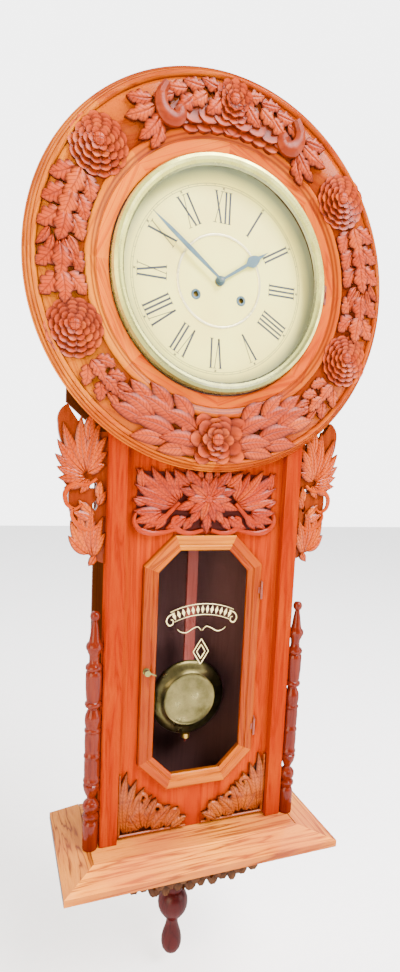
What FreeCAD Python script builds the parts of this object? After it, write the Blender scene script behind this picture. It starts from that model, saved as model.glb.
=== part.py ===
"""Carved pendulum wall clock: hard-wood case, brass movement, parametric FreeCAD document.

Every sub-part is drawn about the dial centre on the front plane of the pilasters:
X to the right, Y back towards the wall, Z up. The placements then move the clock so
that its origin is the hook hole of the hanger plate, on the wall plane.
"""

import FreeCAD, Part

import math
import os
from types import SimpleNamespace

import Sketcher
from FreeCAD import Placement, Rotation, Vector

DRIVING_SIZES = {
    # case
    "case_depth": 106.5,
    "hook_inset": 18.0,
    "back_board": 8.0,
    "case_board": 12.0,
    "trunk_half": 135.0,
    "trunk_drop": 744.0,
    "head_half": 176.0,
    "head_shoulder": 155.0,
    "head_rise": 190.0,
    "pilaster_width": 23.6,
    "pilaster_depth": 20.0,
    "panel_recess": 12.0,
    "panel_board": 12.0,
    "carving_rise": 8.0,
    "carving_margin": 5.5,
    "apron_height": 93.0,
    "corner_height": 100.0,
    "fit_gap": 0.7,
    # carved ring and bezel
    "ring_radius": 240.0,
    "ring_ground": 11.0,
    "ring_bead": 15.0,
    "ring_border": 15.5,
    "ring_inside": 158.5,
    "ring_hole": 143.5,
    "inner_border": 15.0,
    "rosette_rise": 10.0,
    "spray_rise": 7.0,
    "bezel_radius": 141.3,
    "bezel_front": 21.0,
    "bezel_wall": 1.5,
    "bezel_back": 2.0,
    "sight_radius": 127.0,
    "glass_radius": 133.2,
    "glass_face": 15.3,
    "glass_sheet": 2.0,
    # dial
    "dial_radius": 138.0,
    "dial_setback": 3.2,
    "dial_sheet": 1.0,
    "dial_board": 6.0,
    "dial_window": 62.0,
    "trim_radius": 55.8,
    "trim_width": 1.8,
    "trim_rise": 1.2,
    # door
    "door_half": 84.3,
    "door_crown": 324.9,
    "door_foot": 679.3,
    "door_corner": 41.0,
    "door_face": 4.2,
    "door_back": 20.0,
    "door_member": 20.2,
    "door_glass": 3.0,
    "knuckle_radius": 1.8,
    "knuckle_length": 24.0,
    "hinge_reach": 4.5,
    # columns, brackets, base and finial
    "column_radius": 10.9,
    "column_setback": 6.1,
    "column_height": 322.5,
    "side_gap": 0.5,
    "bracket_width": 60.5,
    "bracket_height": 197.0,
    "bracket_face": 12.0,
    "bracket_board": 10.0,
    "base_half": 189.0,
    "base_front": 70.0,
    "base_board": 16.0,
    "base_border": 42.0,
    "base_bevel": 4.0,
    "tail_half": 146.0,
    "tail_drop": 92.0,
    "tail_face": 38.0,
    "tail_board": 14.0,
    "finial_setback": 80.0,
    "finial_drop": 261.0,
    # hanger
    "hanger_half": 20.0,
    "hanger_sheet": 2.0,
    "hook_hole": 4.5,
    "hook_recess": 9.0,
    # movement
    "plate_front": 16.0,
    "plate_gap": 28.8,
    "plate_sheet": 1.6,
    "plate_half": 66.0,
    "plate_foot": 62.0,
    "plate_crown": 58.0,
    "plate_lug": 18.0,
    "pillar_radius": 4.0,
    "winding_half": 30.9,
    "winding_drop": 19.6,
    "winding_hole": 3.8,
    "winding_radius": 3.0,
    "arbor_radius": 1.2,
    "centre_radius": 1.5,
    "running_gap": 0.05,
    "drum_radius": 18.5,
    "great_module": 0.762,
    "train_module": 0.5,
    "motion_module": 0.6,
    "escape_radius": 15.0,
    "pendulum_pivot": 42.0,
    "pallet_gap": 0.25,
    # pendulum
    "pendulum_setback": 57.0,
    "bob_drop": 570.0,
    "bob_radius": 56.0,
    "rod_width": 15.0,
    "rod_thick": 6.0,
    "rod_top": 24.0,
    "screw_radius": 1.6,
    "rating_nut": 6.5,
    # hands
    "minutes_shown": 111.0,
    "minute_hand": 113.5,
    "hour_hand": 79.0,
    "hand_sheet": 0.8,
    # strike
    "hammer_reach": 112.0,
    "gong_radius": 40.0,
    "gong_wire": 1.6,
}

CENTRE_TEETH = (72, 12)
THIRD_TEETH = (64, 8)
ESCAPE_TEETH = (36, 9)
GREAT_TEETH = 84
PIN_TEETH = (60, 12)
FLY_PINION = 8
CANNON_TEETH = 12
MINUTE_TEETH = (36, 10)
HOUR_TEETH = 40
PALLET_SPAN = 7.5


class Size:
    """A length together with the sheet formula that it was worked out by."""

    def __init__(self, value, text):
        self.value = float(value)
        self.text = text

    def __float__(self):
        return self.value

    def __neg__(self):
        return Size(-self.value, f"(-{self.text})")

    def __add__(self, other):
        return Size(self.value + float(other), f"({self.text} + {formula(other)})")

    def __sub__(self, other):
        return Size(self.value - float(other), f"({self.text} - {formula(other)})")

    def __mul__(self, other):
        return Size(self.value * float(other), f"({self.text} * {formula(other)})")

    def __truediv__(self, other):
        return Size(self.value / float(other), f"({self.text} / {formula(other)})")

    def __radd__(self, other):
        return Size(other, formula(other)) + self

    def __rsub__(self, other):
        return Size(other, formula(other)) - self

    def __rmul__(self, other):
        return Size(other, formula(other)) * self


def formula(term):
    """The text of a term in a sheet formula."""
    return term.text if isinstance(term, Size) else f"({float(term)!r})"


document = FreeCAD.newDocument("WallClock")


def driving_sheet():
    """Write the driving sizes into the sheet and return them by name."""
    sheet = document.addObject("Spreadsheet::Sheet", "Sizes")
    for row, (name, value) in enumerate(DRIVING_SIZES.items(), start=1):
        sheet.set(f"A{row}", name)
        sheet.set(f"B{row}", str(value))
        sheet.setAlias(f"B{row}", name)
    document.recompute()
    return SimpleNamespace(
        **{name: Size(sheet.get(name), f"Sizes.{name}") for name in DRIVING_SIZES}
    )


size = driving_sheet()
size.hook_height = size.head_rise - size.hook_inset
size.panel_half = size.trunk_half - size.pilaster_width
size.band_inside = size.ring_inside + size.inner_border
size.band_width = size.ring_radius - size.ring_border - size.band_inside
size.band_middle = size.band_inside + size.band_width / 2
nodes = []


# ---------------------------------------------------------------- drawing helpers


def bind(thing, name, value):
    """Set a property to a size and tie it to the sheet."""
    setattr(thing, name, float(value))
    if isinstance(value, Size):
        thing.setExpression(name, value.text)


def place(thing, x=0.0, y=0.0, z=0.0, turn=None):
    """Place a thing drawn about the dial centre in the clock's own frame."""
    where = (x, y - size.case_depth, z - size.hook_height)
    thing.Placement = Placement(Vector(*[float(value) for value in where]), turn or Rotation())
    for axis, value in zip("xyz", where):
        if isinstance(value, Size):
            thing.setExpression(f"Placement.Base.{axis}", value.text)


def node(thing, name):
    """Name a finished sub-part and list it for writing."""
    thing.Label = name
    nodes.append(thing)
    return thing


def box(name, x, y, z):
    """A square-edged board between three pairs of planes."""
    block = document.addObject("Part::Box", name)
    for side, (low, high) in (("Length", x), ("Width", y), ("Height", z)):
        bind(block, side, high - low)
    place(block, x[0], y[0], z[0])
    return block


def form(name, solids, x=0.0, y=0.0, z=0.0, turn=None):
    """A sub-part whose solids are worked out by formula from the sheet."""
    feature = document.addObject("Part::Feature", name)
    feature.Shape = solids[0] if len(solids) == 1 else Part.makeCompound(solids)
    place(feature, x, y, z, turn)
    return node(feature, name)


def group(name, members):
    """Several separate pieces that make one sub-part."""
    compound = document.addObject("Part::Compound", name)
    compound.Links = members
    return node(compound, name)


def body(name, x=0.0, y=0.0, z=0.0, turn=None):
    """An empty body whose origin lies at a point measured from the dial centre."""
    part = document.addObject("PartDesign::Body", name)
    part.Label = name
    place(part, x, y, z, turn)
    return part


def arc(x, y):
    """A point that the round stretch between two corners passes through."""
    return ("arc", x, y)


def sketch_on(part, role, offset=0.0):
    """A sketch on one of a body's own origin planes, moved along its normal."""
    sketch = part.newObject("Sketcher::SketchObject", f"{part.Name}_Sketch")
    plane = next(item for item in part.Origin.OriginFeatures if item.Role == role)
    sketch.AttachmentSupport = [(plane, "")]
    sketch.MapMode = "FlatFace"
    sketch.AttachmentOffset = Placement(Vector(0, 0, float(offset)), Rotation())
    if isinstance(offset, Size):
        sketch.setExpression("AttachmentOffset.Base.z", offset.text)
    return sketch


def fix_point(sketch, index, position, x, y):
    """Dimension a point of a sketch from its origin, along both axes."""
    for kind, value in (("DistanceX", x), ("DistanceY", y)):
        number = sketch.addConstraint(
            Sketcher.Constraint(kind, -1, 1, index, position, float(value))
        )
        if isinstance(value, Size):
            sketch.setExpression(f"Constraints[{number}]", value.text)


def draw_outline(sketch, path):
    """Draw a closed outline of corners, with arcs through the marked points."""
    corners = [item for item in path if item[0] != "arc"]
    first = sketch.GeometryCount
    segments = []
    for place_in_path, item in enumerate(path):
        if item[0] == "arc":
            continue
        after = path[(place_in_path + 1) % len(path)]
        start = Vector(float(item[0]), float(item[1]), 0)
        if after[0] == "arc":
            following = path[(place_in_path + 2) % len(path)]
            middle = Vector(float(after[1]), float(after[2]), 0)
            end = Vector(float(following[0]), float(following[1]), 0)
            segments.append((Part.Arc(start, middle, end), start, after))
        else:
            end = Vector(float(after[0]), float(after[1]), 0)
            segments.append((Part.LineSegment(start, end), start, None))
    ends = []
    for geometry, start, _ in segments:
        index = sketch.addGeometry(geometry, False)
        begins_here = sketch.getPoint(index, 1).distanceToPoint(start) < 1e-6
        ends.append((1, 2) if begins_here else (2, 1))
    for number, corner in enumerate(corners):
        index = first + number
        fix_point(sketch, index, ends[number][0], corner[0], corner[1])
        following = (number + 1) % len(corners)
        sketch.addConstraint(
            Sketcher.Constraint(
                "Coincident", index, ends[number][1], first + following, ends[following][0]
            )
        )
    for number, (_, _, through) in enumerate(segments):
        if through:
            middle = Vector(float(through[1]), float(through[2]), 0)
            point = sketch.addGeometry(Part.Point(middle), True)
            fix_point(sketch, point, 1, through[1], through[2])
            sketch.addConstraint(Sketcher.Constraint("PointOnObject", point, 1, first + number))


def draw_circle(sketch, x, y, radius):
    """Draw a dimensioned circle."""
    circle = Part.Circle(Vector(float(x), float(y), 0), Vector(0, 0, 1), float(radius))
    index = sketch.addGeometry(circle, False)
    fix_point(sketch, index, 3, x, y)
    number = sketch.addConstraint(Sketcher.Constraint("Radius", index, float(radius)))
    if isinstance(radius, Size):
        sketch.setExpression(f"Constraints[{number}]", radius.text)


def plate(part, paths=(), circles=(), front=0.0, back=1.0):
    """Pad a front-view outline between two depths."""
    sketch = sketch_on(part, "XZ_Plane", -1 * back)
    for path in paths:
        draw_outline(sketch, path)
    for x, z, radius in circles:
        draw_circle(sketch, x, z, radius)
    pad = part.newObject("PartDesign::Pad", f"{part.Name}_Pad")
    pad.Profile = sketch
    bind(pad, "Length", back - front)
    part.Tip = pad
    return pad


def cut_through(part, paths=(), circles=()):
    """Cut front-view openings right through a body."""
    before = recomputed_volume(part)
    sketch = sketch_on(part, "XZ_Plane")
    for path in paths:
        draw_outline(sketch, path)
    for x, z, radius in circles:
        draw_circle(sketch, x, z, radius)
    pocket = part.newObject("PartDesign::Pocket", f"{part.Name}_Pocket")
    pocket.Profile = sketch
    pocket.Type = "ThroughAll"
    pocket.Midplane = True
    part.Tip = pocket
    if recomputed_volume(part) >= before:
        raise RuntimeError(f"{part.Label}: the openings cut nothing")
    return pocket


def recomputed_volume(part):
    """A body's volume after bringing the document up to date."""
    document.recompute()
    return part.Shape.Volume


def turned(part, path, role="XY_Plane"):
    """Revolve a (radius, height) outline about the sketch's upright axis."""
    sketch = sketch_on(part, role)
    draw_outline(sketch, path)
    revolution = part.newObject("PartDesign::Revolution", f"{part.Name}_Turning")
    revolution.Profile = sketch
    revolution.ReferenceAxis = (sketch, ["V_Axis"])
    revolution.Angle = 360.0
    part.Tip = revolution
    return revolution


def rectangle(x, y):
    """The four corners of a rectangle between two pairs of values."""
    return [(x[0], y[0]), (x[1], y[0]), (x[1], y[1]), (x[0], y[1])]


def rod(x, z, radius, front, back):
    """A round bar along the depth, as a plain solid."""
    start = Vector(float(x), float(front), float(z))
    return Part.makeCylinder(float(radius), float(back) - float(front), start, Vector(0, 1, 0))


def slab(points, front, back):
    """A solid with a straight-sided front view, between two depths."""
    corners = [Vector(float(x), float(front), float(z)) for x, z in points]
    face = Part.Face(Part.makePolygon(corners + corners[:1]))
    return face.extrude(Vector(0, float(back) - float(front), 0))


def prism_between(first, last):
    """A closed prism between two matching loops of points."""
    count = len(first)
    faces = [Part.Face(Part.makePolygon(loop + loop[:1])) for loop in (first, last)]
    for index in range(count):
        after = (index + 1) % count
        side = [first[index], first[after], last[after], last[index]]
        faces.append(Part.Face(Part.makePolygon(side + side[:1])))
    solid = Part.Solid(Part.Shell(faces))
    if solid.Volume < 0:
        solid.reverse()
    return solid


def unit_normal(start, end):
    """The unit vector to the left of a step in the front view."""
    length = math.hypot(end[0] - start[0], end[1] - start[1])
    return ((start[1] - end[1]) / length, (end[0] - start[0]) / length)


def mitred_members(corners, section, closed=True):
    """Straight members of one section, mitred together at the corners of a front-view route.

    The section is a list of (distance inwards, depth); inwards is to the left of the route.
    An open route ends on upright faces.
    """
    count = len(corners)
    steps = count if closed else count - 1
    normals = [unit_normal(corners[i], corners[(i + 1) % count]) for i in range(steps)]
    mitres = []
    for index in range(count):
        before = normals[index - 1] if closed or index > 0 else None
        after = normals[index % steps] if closed or index < count - 1 else None
        if before and after:
            share = 1.0 + before[0] * after[0] + before[1] * after[1]
            mitres.append(((before[0] + after[0]) / share, (before[1] + after[1]) / share))
        else:
            only = before or after
            mitres.append((0.0, 1.0 / only[1]))
    loops = [
        [Vector(x + inwards * across, depth, z + inwards * rise) for inwards, depth in section]
        for (x, z), (across, rise) in zip(corners, mitres)
    ]
    return [prism_between(loops[i], loops[(i + 1) % count]) for i in range(steps)]


def gear(teeth, module, front, back, tooth_at=None, gap_at=0.0):
    """A toothed disc about the origin, with a tooth or a gap at a given angle in degrees.

    Pinions (tooth_at) have flat-topped leaves, and wheels (gap_at) have pointed teeth.
    """
    pitch = 2 * math.pi / teeth
    radius = float(module) * teeth / 2
    tip = radius + 0.8 * float(module)
    if tooth_at is None:
        start = math.radians(gap_at) + pitch / 2
        shape = ((radius - 1.5 * float(module), -0.5), (tip, 0.0))
    else:
        root = radius - 1.15 * float(module)
        start = math.radians(tooth_at)
        shape = ((root, -0.24), (tip, -0.08), (tip, 0.08), (root, 0.24))
    points = []
    for tooth in range(teeth):
        for reach, share in shape:
            angle = start + (tooth + share) * pitch
            points.append((reach * math.cos(angle), reach * math.sin(angle)))
    return slab(points, front, back)


def leaf(base, tip, width, front, back, bow=0.0):
    """A pointed leaf between two points of the front view, each side in four straight cuts."""
    along = (tip[0] - base[0], tip[1] - base[1])
    length = math.hypot(*along)
    normal = (-along[1] / length, along[0] / length)
    outline = [base]
    for side, shares in ((1, (0.2, 0.5, 0.8)), (-1, (0.8, 0.5, 0.2))):
        for share in shares:
            swell = 4 * share * (1 - share)
            offset = swell * (bow + side * width / 2)
            outline.append(
                (
                    base[0] + share * along[0] + offset * normal[0],
                    base[1] + share * along[1] + offset * normal[1],
                )
            )
        if side > 0:
            outline.append(tip)
    return slab(outline, front, back)


def polar(radius, degrees, centre=(0.0, 0.0)):
    """A front-view point at a distance and an angle from a centre."""
    angle = math.radians(degrees)
    return (centre[0] + radius * math.cos(angle), centre[1] + radius * math.sin(angle))


def scalloped(centre, radius, lobes, front, back, start=0.0):
    """A disc whose edge is a ring of equal lobes, each in three straight cuts."""
    step = 360.0 / lobes
    outline = []
    for lobe in range(lobes):
        angle = start + lobe * step
        outline.append(polar(0.86 * radius, angle, centre))
        outline.append(polar(0.97 * radius, angle + 0.25 * step, centre))
        outline.append(polar(0.97 * radius, angle + 0.75 * step, centre))
    return slab(outline, front, back)


def fused(solids):
    """One solid from overlapping ones, with the joined faces tidied."""
    return solids[0].multiFuse(solids[1:]).removeSplitter()


def mirrored(solids):
    """The same solids on the other side of the clock."""
    return [solid.mirror(Vector(0, 0, 0), Vector(1, 0, 0)) for solid in solids]


# ---------------------------------------------------------------- case


def head_outline():
    """The front view of the head box, from the foot of its right corner board to the left."""
    half, shoulder, rise = size.head_half, size.head_shoulder, size.head_rise
    foot = size.trunk_half
    return [
        (foot, -rise),
        (half, -shoulder),
        (half, shoulder),
        (foot, rise),
        (-foot, rise),
        (-half, shoulder),
        (-half, -shoulder),
        (-foot, -rise),
    ]


def head_inner_foot():
    """Height of the inner edge of a lower corner board where it meets the trunk."""
    run = float(size.head_half - size.trunk_half)
    fall = float(size.head_rise - size.head_shoulder)
    return -float(size.head_rise) + float(size.case_board) * math.hypot(run, fall) / run


def make_back_board():
    """The board against the wall: head and trunk in one outline, bored behind the hook."""
    part = body("back_board")
    outline = head_outline() + [
        (-size.trunk_half, -size.trunk_drop),
        (size.trunk_half, -size.trunk_drop),
    ]
    front = size.case_depth - size.back_board
    plate(part, paths=[outline], front=front, back=size.case_depth)
    cut_through(part, circles=[(0.0, size.hook_height, size.hook_recess)])
    recess = sketch_on(part, "XZ_Plane", -size.case_depth)
    half = size.hanger_half
    draw_outline(
        recess,
        rectangle((-half, half), (size.hook_height - half * 0.7, size.hook_height + half * 0.7)),
    )
    pocket = part.newObject("PartDesign::Pocket", "hanger_recess")
    pocket.Profile = recess
    pocket.Reversed = True
    bind(pocket, "Length", size.hanger_sheet)
    part.Tip = pocket
    node(part, "back_board")


def make_hanger_plate():
    """The steel plate let in flush with the wall face, with the hook hole."""
    part = body("hanger_plate")
    half = size.hanger_half
    plate(
        part,
        paths=[
            rectangle((-half, half), (size.hook_height - half * 0.7, size.hook_height + half * 0.7))
        ],
        circles=[(0.0, size.hook_height, size.hook_hole)],
        front=size.case_depth - size.hanger_sheet,
        back=size.case_depth,
    )
    node(part, "hanger_plate")


def make_head_boards():
    """The seven mitred boards of the head box behind the ring."""
    corners = [(float(x), float(z)) for x, z in head_outline()]
    front, back = 0.0, float(size.case_depth - size.back_board)
    thick = float(size.case_board)
    section = [(0.0, front), (thick, front), (thick, back), (0.0, back)]
    form("head_boards", mitred_members(corners, section, closed=False))


def make_trunk_sides():
    """The two long side boards of the trunk, from the base up into the head."""
    top = head_inner_foot()
    for name, side in (("trunk_side_left", -1), ("trunk_side_right", 1)):
        outer = side * size.trunk_half
        inner = side * (size.trunk_half - size.case_board)
        across = (outer, inner) if side < 0 else (inner, outer)
        depth = (size.pilaster_depth, size.case_depth - size.back_board)
        board = box(name, across, depth, (-size.trunk_drop, as_size(top)))
        node(board, name)


def as_size(value):
    """A worked-out number as a size with no formula behind it."""
    return Size(value, f"({float(value)!r})")


def make_pilasters():
    """The flat strips that frame the front, with a small chamfer on their outer arris."""
    for name, side in (("pilaster_left", -1), ("pilaster_right", 1)):
        part = body(name)
        outer = side * size.trunk_half
        inner = side * (size.trunk_half - size.pilaster_width)
        sketch = sketch_on(part, "XY_Plane", -size.trunk_drop)
        chamfer = 2.0
        draw_outline(
            sketch,
            [
                (inner, 0.0),
                (outer - side * chamfer, 0.0),
                (outer, chamfer),
                (outer, size.pilaster_depth),
                (inner, size.pilaster_depth),
            ],
        )
        pad = part.newObject("PartDesign::Pad", f"{name}_Pad")
        pad.Profile = sketch
        bind(pad, "Length", size.trunk_drop - size.head_rise)
        part.Tip = pad
        node(part, name)


def make_front_boards():
    """Two stiles and two rails that leave the eight-sided door opening."""
    half = size.door_half + size.fit_gap
    edge = size.trunk_half - size.pilaster_width
    front, back = size.panel_recess, size.panel_recess + size.panel_board
    for name, side in (("front_stile_left", -1), ("front_stile_right", 1)):
        part = body(name)
        across = (-edge, -half) if side < 0 else (half, edge)
        upright = (-size.trunk_drop, -size.head_rise)
        plate(part, paths=[rectangle(across, upright)], front=front, back=back)
        node(part, name)
    crown = -size.door_crown + size.fit_gap
    foot = -size.door_foot - size.fit_gap
    short = half - size.door_corner
    for name, outer, inner, bend in (
        ("front_rail_top", -size.head_rise, crown, crown - size.door_corner),
        ("front_rail_bottom", -size.trunk_drop, foot, foot + size.door_corner),
    ):
        part = body(name)
        path = [
            (-half, outer),
            (half, outer),
            (half, bend),
            (short, inner),
            (-short, inner),
            (-half, bend),
        ]
        plate(part, paths=[path], front=front, back=back)
        node(part, name)


def make_base():
    """The base shelf, its top border falling away to a square edge."""
    half, front, back = size.base_half, size.base_front, size.case_depth
    border, bevel = size.base_border, size.base_bevel
    top = float(-size.trunk_drop)
    low = top - float(bevel)
    under = top - float(size.base_board)
    outer = [(-half, -front), (half, -front), (half, back), (-half, back)]
    inset = [
        (-half + border, -front + border),
        (half - border, -front + border),
        (half - border, back),
        (-half + border, back),
    ]
    edge = [Vector(float(x), float(y), 0) for x, y in outer]
    field = [Vector(float(x), float(y), 0) for x, y in inset]
    rims = {
        "under": [corner + Vector(0, 0, under) for corner in edge],
        "low": [corner + Vector(0, 0, low) for corner in edge],
        "top": [corner + Vector(0, 0, top) for corner in field],
    }
    faces = [
        Part.Face(Part.makePolygon(rims["under"] + rims["under"][:1])),
        Part.Face(Part.makePolygon(rims["top"] + rims["top"][:1])),
    ]
    for index in range(4):
        after = (index + 1) % 4
        walls = [(rims["under"], rims["low"])]
        if index != 2:
            walls.append((rims["low"], rims["top"]))
        for lower, upper in walls:
            side = [lower[index], lower[after], upper[after], upper[index]]
            faces.append(Part.Face(Part.makePolygon(side + side[:1])))
    rear = [rims["low"][2], rims["low"][3], rims["top"][3], rims["top"][2]]
    faces.append(Part.Face(Part.makePolygon(rear + rear[:1])))
    solid = Part.Solid(Part.Shell(faces))
    if solid.Volume < 0:
        solid.reverse()
    form("base_board", [solid])


def make_columns():
    """The turned spindles that stand on the base against the trunk sides."""
    radius, height = size.column_radius, size.column_height
    foot = -size.trunk_drop
    top = foot + height
    profile = [
        (0.0, foot),
        (radius * 0.9, foot),
        (radius * 0.9, foot + 34),
        (radius * 0.7, foot + 38),
        (radius, foot + 44),
        (radius * 0.45, foot + 62),
        (radius, foot + 78),
        (radius * 0.72, foot + 92),
        (radius, foot + 97),
        (radius * 0.88, foot + 101),
        (radius * 0.88, foot + 150),
        (radius, foot + 170),
        (radius * 0.55, foot + 187),
        (radius, foot + 197),
        (radius * 0.9, foot + 203),
        (radius * 0.9, foot + 236),
        (radius, foot + 243),
        (radius * 0.5, foot + 250),
        (radius * 0.98, foot + 268),
        (radius * 0.3, top - 13),
        (radius * 0.55, top - 6),
        (0.0, top),
    ]
    for name, side in (("column_left", -1), ("column_right", 1)):
        across = side * (size.trunk_half + radius + size.side_gap)
        part = body(name, across, size.column_setback)
        turned(part, profile, "XZ_Plane")
        node(part, name)


def make_brackets():
    """The pierced side boards carved as an acanthus leaf over scrolls."""
    wall, head = size.trunk_half, -size.head_rise
    wide, high = size.bracket_width, size.bracket_height
    outline = (
        ("corner", 0.000, -0.03),
        ("corner", 0.182, -0.035),
        ("corner", 0.248, -0.07),
        ("corner", 0.364, -0.01),
        ("corner", 0.463, -0.035),
        ("corner", 0.727, 0.08),
        ("corner", 0.818, 0.127),
        ("bulge", 0.983, 0.07),
        ("corner", 1.000, 0.005),
        ("bulge", 0.975, -0.06),
        ("corner", 0.876, -0.137),
        ("corner", 0.909, -0.193),
        ("bulge", 0.876, -0.274),
        ("corner", 0.860, -0.355),
        ("corner", 0.760, -0.391),
        ("bulge", 0.769, -0.477),
        ("corner", 0.711, -0.563),
        ("bulge", 0.636, -0.66),
        ("corner", 0.479, -0.746),
        ("bulge", 0.355, -0.807),
        ("corner", 0.165, -0.853),
        ("corner", 0.000, -0.873),
    )
    lenses = (
        (0.61, -0.30, 0.165, 0.091),
        (0.28, -0.254, 0.165, 0.056),
        (0.27, -0.37, 0.182, 0.03),
        (0.23, -0.497, 0.10, 0.061),
        (0.28, -0.726, 0.182, 0.076),
    )
    for name, side in (("side_bracket_left", -1), ("side_bracket_right", 1)):
        part = body(name)

        def at(across, rise):
            return (side * (wall + across * wide), head + rise * high)

        path = []
        for kind, across, rise in outline:
            path.append(at(across, rise) if kind == "corner" else arc(*at(across, rise)))
        plate(
            part,
            paths=[path],
            front=size.bracket_face,
            back=size.bracket_face + size.bracket_board,
        )
        holes = []
        for across, rise, broad, tall in lenses:
            holes.append(
                [
                    at(across, rise + tall / 2),
                    arc(*at(across + broad / 2, rise)),
                    at(across, rise - tall / 2),
                    arc(*at(across - broad / 2, rise)),
                ]
            )
        cut_through(part, paths=holes)
        node(part, name)


def make_bottom_finial():
    """The turned drop below the base: long neck, ball and pear."""
    part = body("bottom_finial", 0.0, size.finial_setback)
    tip = -size.trunk_drop - size.finial_drop
    under = -size.trunk_drop - size.base_board
    profile = [
        (0.0, under),
        (15.0, under),
        (15.0, under - 14),
        (12.0, under - 20),
        (12.0, tip + 122),
        (15.0, tip + 116),
        (15.0, tip + 110),
        (22.0, tip + 98),
        (23.6, tip + 86),
        (20.0, tip + 75),
        (9.3, tip + 58),
        (12.0, tip + 42),
        (16.0, tip + 26),
        (14.0, tip + 10),
        (6.0, tip),
        (0.0, tip),
    ]
    turned(part, profile, "XZ_Plane")
    node(part, "bottom_finial")


def make_tail_carving():
    """The carved board that hangs under the base in front of the drop finial."""
    half, drop = float(size.tail_half), float(size.tail_drop)
    front = float(size.tail_face)
    back = front + float(size.tail_board)
    top = -float(size.trunk_drop) - float(size.base_board)
    right = [
        (half, top),
        (half, top - 0.20 * drop),
        (0.86 * half, top - 0.62 * drop),
        (0.55 * half, top - 0.84 * drop),
        (0.20 * half, top - 0.90 * drop),
    ]
    outline = right + [(-x, z) for x, z in reversed(right)]
    solids = [slab(outline, front, back)]
    for share, hang, wide in ((0.0, 1.13, 22), (0.30, 1.06, 18), (0.50, 1.02, 18), (0.74, 0.94, 16)):
        for side in (-1, 1) if share else (1,):
            x = side * share * half
            base, tip = (x, top - 0.5 * drop), (x, top - hang * drop)
            solids.append(leaf(base, tip, wide, front - 4, back - 4))
    form("tail_carving", [fused(solids)])


# ---------------------------------------------------------------- ring and its carving


def make_head_ring():
    """The carved ring: wall sloping in to a beaded rim, sunk ground and an inner bead."""
    part = body("head_ring")
    radius, ground, bead = size.ring_radius, size.ring_ground, size.ring_bead
    border, inside = size.ring_border, size.ring_inside
    turned(
        part,
        [
            (inside, 0.0),
            (radius, 0.0),
            (radius, -0.13 * bead),
            (radius - 0.2 * border, -0.36 * bead),
            (radius - 0.42 * border, -0.64 * bead),
            (radius - 0.66 * border, -0.94 * bead),
            (radius - 0.8 * border, -bead),
            (radius - 0.94 * border, -0.93 * bead),
            (radius - border, -ground),
            (size.band_inside, -ground),
            (size.band_inside - 0.23 * size.inner_border, -ground - 2.5),
            (size.band_inside - 0.46 * size.inner_border, -ground),
            (inside + 2, -ground),
            (inside, -ground + 1.5),
        ],
    )
    node(part, "head_ring")


def make_inner_ring():
    """The plain flat ring between the carved ring and the bezel."""
    part = body("inner_ring")
    outer = size.ring_inside
    turned(
        part,
        [
            (size.ring_hole, 0.0),
            (outer, 0.0),
            (outer, -size.ring_ground + 1),
            (size.ring_hole, -size.ring_ground + 1),
        ],
    )
    node(part, "inner_ring")


ROSETTE_ANGLES = (37.0, 143.0, 204.0, 336.0)


def make_ring_rosettes():
    """Four many-petalled rosettes standing over the ring's beads: two tiers and a button."""
    ground = -float(size.ring_ground)
    bead = -float(size.ring_bead)
    crown = ground - float(size.rosette_rise)
    radius = 0.65 * float(size.band_width)
    solids = []
    for angle in ROSETTE_ANGLES:
        centre = polar(float(size.band_middle), angle)
        tiers = [
            rod(*centre, 0.7 * radius, bead, ground),
            scalloped(centre, radius, 13, bead - 2.0, bead, angle),
            scalloped(centre, 0.64 * radius, 9, bead - 4.0, bead, angle + 9),
            rod(*centre, 0.22 * radius, crown, bead),
        ]
        solids.append(fused(tiers))
    form("ring_rosettes", solids)


def spray(circle, start, step, leaves, length, rise, ground):
    """Leaves that overlap along the ring, pointing the way that the spray runs."""
    solids = []
    for number in range(leaves):
        angle = start + number * step
        for lean, reach in ((-9.0, 1.0), (9.0, 0.92)):
            base = polar(circle, angle)
            direction = math.radians(angle + math.copysign(90, step)) + math.radians(lean * 4)
            tip = (
                base[0] + reach * length * math.cos(direction),
                base[1] + reach * length * math.sin(direction),
            )
            height = rise * (0.75 + 0.25 * (number % 2))
            solids.append(leaf(base, tip, 0.45 * length, ground - height, ground))
    return solids


def make_ring_sprays():
    """Leaf sprays: one over the top, one along the bottom, and one below each rosette."""
    ground = -float(size.ring_ground)
    rise = float(size.spray_rise)
    circle = float(size.band_middle)
    band = float(size.band_width)
    top_flower = scalloped(polar(circle, 90.0), 0.37 * band, 9, ground - rise - 1, ground, 90.0)
    foot_flower = scalloped(polar(circle, 270.0), 0.44 * band, 8, ground - rise - 1, ground, 90.0)
    top, foot, sides = [top_flower], [foot_flower], []
    for side in (-1, 1):
        top += spray(circle, 90.0 + side * 4, side * 9.5, 3, 0.7 * band, rise, ground)
        foot += spray(circle, 270.0 + side * 5, side * 9.5, 3, 0.7 * band, rise, ground)
    for start, step, leaves in ((155.0, 11.0, 3), (25.0, -11.0, 3), (216.0, 9.0, 2), (324.0, -9.0, 2)):
        sides.append(fused(spray(circle, start, step, leaves, 0.5 * band, rise, ground)))
    form("ring_sprays", [fused(top), fused(foot)] + sides)


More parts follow.
